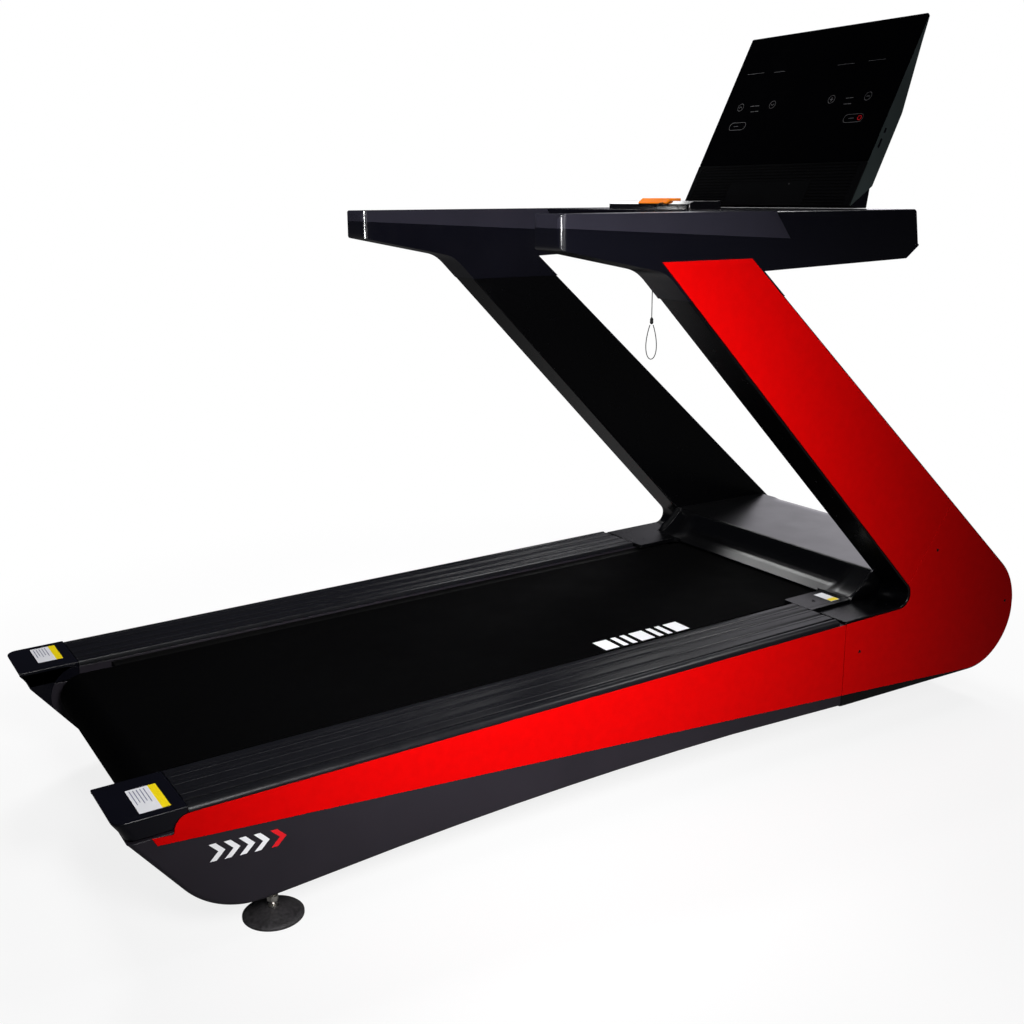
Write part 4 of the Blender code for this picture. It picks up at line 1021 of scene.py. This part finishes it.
def screen_ring(outer, inner, front, back):
    """A thin closed frame between two outlines with as many points each."""
    return loft([[on_display(across, up, depth) for across, up in outline]
                 for outline, depth in ((outer, front), (inner, front), (inner, back), (outer, back))], ends=False)


def pill(across, up, half, radius, steps=10):
    """Outline of a bar with round ends."""
    points = []
    for end, start in ((half - radius, -math.pi / 2), (radius - half, math.pi / 2)):
        for step in range(steps + 1):
            angle = start + math.pi * step / steps
            points.append((across + end + radius * math.cos(angle), up + radius * math.sin(angle)))
    return points


def bar(across, up, length, width, turn=0.0):
    """Outline of a straight stroke centred on a point."""
    spin = Matrix.Rotation(turn, 2)
    corners = rectangle(-length / 2, length / 2, -width / 2, width / 2)
    return [tuple(Vector((across, up)) + spin @ Vector(corner)) for corner in corners]


def make_icons():
    """Generic printed keys on the glass: rings, dashes and pill shapes."""
    front, back = -0.00018, 0.00002
    line, ring_row, pill_row = 0.0008, 0.271, 0.2175
    ink = bmesh.new()

    def draw(outline):
        join(ink, screen_plate(outline, front, back))

    def draw_ring(across, up, half, radius):
        outer, inner = pill(across, up, half, radius), pill(across, up, half - line, radius - line)
        join(ink, screen_ring(outer, inner, front, back))

    for across in (0.22, 0.104, -0.095, -0.208):
        draw_ring(across, ring_row, 0.0105, 0.01049)
    for across, tilt in ((0.22, 1), (0.104, -1)):
        for lean in (1, -1):
            draw(bar(across + lean * 0.0025, ring_row, 0.0068, 0.001, -lean * tilt * math.radians(40)))
    for across in (-0.095, -0.208):
        draw(bar(across, ring_row, 0.01, 0.0012))
    for lift in (0.0034, -0.0034):
        draw(bar(-0.095, ring_row + lift, 0.0012, 0.0044))
    for across, length, up in ((0.168, 0.034, 0.2715), (0.161, 0.03, 0.256), (-0.152, 0.024, 0.2705),
                               (-0.152, 0.026, 0.2555)):
        for part in (-0.25, 0.25):
            draw(bar(across + part * length, up, length * 0.42, 0.0013))
    for across in (0.202, -0.19):
        draw_ring(across, pill_row, 0.03, 0.0105)
        draw(bar(across + 0.006, pill_row, 0.016, 0.001))
    for across, length, up in ((0.2165, 0.06, 0.365), (0.129, 0.038, 0.362), (-0.0945, 0.054, 0.361),
                               (-0.189, 0.052, 0.3625)):
        draw(bar(across, up, length, line))
    finished("screen_icons", ink, GREY_INK, "console_glass", sharp=20)
    outer, inner = pill(-0.209, pill_row, 0.0062, 0.00619), pill(-0.209, pill_row, 0.0042, 0.00419)
    finished("screen_stop_ring", screen_ring(outer, inner, front, back), RED_INK, "console_glass", sharp=20)


def make_display():
    top = (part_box("console_glass")[1].z - DISPLAY_FOOT.z) / math.cos(DISPLAY_LEAN)
    bottom = GRILLE_LENGTH + 0.0015
    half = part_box("console_glass")[1].y
    glass = rounded_polygon([(-half, bottom, 0), (half, bottom, 0), (half, top, 0.004), (-half, top, 0.004)])
    stand_in("console_glass", screen_plate(glass, 0.0, GLASS_DEPTH), GLASS, 0.001, kind="pane")
    make_icons()

    recess_half, recess_top, edge = 0.1375, 0.066, 0.018
    floor, foot, head = 0.0022, 0.004, GRILLE_LENGTH - 0.0045
    shape = screen_plate(rectangle(-half, half, 0.0004, GRILLE_LENGTH), floor, GLASS_DEPTH)
    for sides in ((-half, half, head, GRILLE_LENGTH), (-half, half, 0.0004, foot),
                  (-half, -half + edge, foot, head), (half - edge, half, foot, head)):
        join(shape, screen_plate(rectangle(*sides), 0.0, floor))
    join(shape, screen_plate(rectangle(-recess_half, recess_half, foot, recess_top), 0.0012, floor))
    count = 12
    pitch = (GRILLE_LENGTH - 0.012) / count
    for index in range(count):
        up = 0.007 + index * pitch
        if up + pitch * 0.5 > recess_top + 0.001:
            spans = ((-half + edge, half - edge),)
        else:
            spans = ((-half + edge, -recess_half), (recess_half, half - edge))
        for first, second in spans:
            slat = [(floor, up), (0.0003, up + pitch * 0.12), (0.0003, up + pitch * 0.42),
                    (floor, up + pitch * 0.56)]
            join(shape, loft([[on_display(across, height, depth) for depth, height in slat]
                              for across in (first, second)]))
    stand_in("console_grille", shape, GRILLE, 0, kind="slats", sharp=25)
    dot = screen_plate(pill(-0.07, 0.056, 0.0016, 0.00159), 0.001, 0.0014)
    finished("console_sensor_dot", dot, GREY_INK, "console_grille", sharp=20)
    make_housing()


def make_housing():
    """The display's rear shell, with a socket slot in its right side."""
    node = "console_housing"
    low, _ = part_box(node)
    stand_in(node, extruded(node), HOUSING_PAINTED_REFLECTION, 0.003, 4)
    slots = bmesh.new()
    for up, length in ((0.15, 0.022), (0.186, 0.012)):
        outline = rounded_box(0.015, 0.0205, up, up + length, 0.0015)
        points = [on_display(0, along, depth) for depth, along in outline]
        join(slots, prism([(point.x, point.z) for point in points], low.y - 0.00015, low.y + 0.001))
    finished("console_socket_slots", slots, GLOSS, node, sharp=20)


# ---- everything else
def make_front():
    refine("front_cover", BLACK, 0.0012)
    refine("power_inlet", BLACK, 0.0008)
    refine("power_switch", GLOSS, 0.0008)
    low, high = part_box("power_inlet")
    blades = bmesh.new()
    for y, z in ((-0.324, 0.235), (-0.3295, 0.232), (-0.335, 0.235)):
        outline = rectangle(low.x + 0.0075, high.x - 0.008, z - 0.002, z + 0.002)
        join(blades, prism(outline, y - 0.001, y + 0.001))
    soften(finished("inlet_blades", blades, TURNED, "power_inlet", slot="roller_steel"), 0.0003, 2)


def make_hidden_parts():
    """Frame, drive and incline gear: rounded edges and real finishes."""
    for side, _ in SIDES:
        refine(f"{side}_frame_rail", STEEL, 0.0012)
        materials = NODES[f"{side}_upright_post"].data.materials
        materials.clear()
        materials.append(STEEL)
    for node in ("rear_crossmember", "mid_crossmember", "motor_mount", "console_crossbeam"):
        refine(node, STEEL, 0.0012)
    refine("lift_frame", STEEL, 0.0016)
    refine("deck_board", BOARD, 0.0015)
    for node in ("front_roller", "rear_roller", "motor_rotor"):
        refine(node, TURNED, 0.0006)
    for node in ("front_roller_axle", "rear_roller_axle", "incline_tube"):
        refine(node, CHROME, 0.0005)
    refine("drive_motor", CAST, 0.0015)
    refine("motor_controller", CAST, 0.003, 3)
    refine("incline_motor", CAST, 0.001)
    refine("drive_belt", RUBBER, 0.0004)


def main():
    make_camera()
    make_cords()
    make_studio()
    make_side_shells()
    make_upright_covers()
    make_hood()
    make_rail_covers()
    make_foot_rails()
    make_end_caps()
    make_belt()
    make_wheels()
    make_feet()
    make_armrests()
    make_console()
    make_display()
    make_front()
    make_hidden_parts()


main()
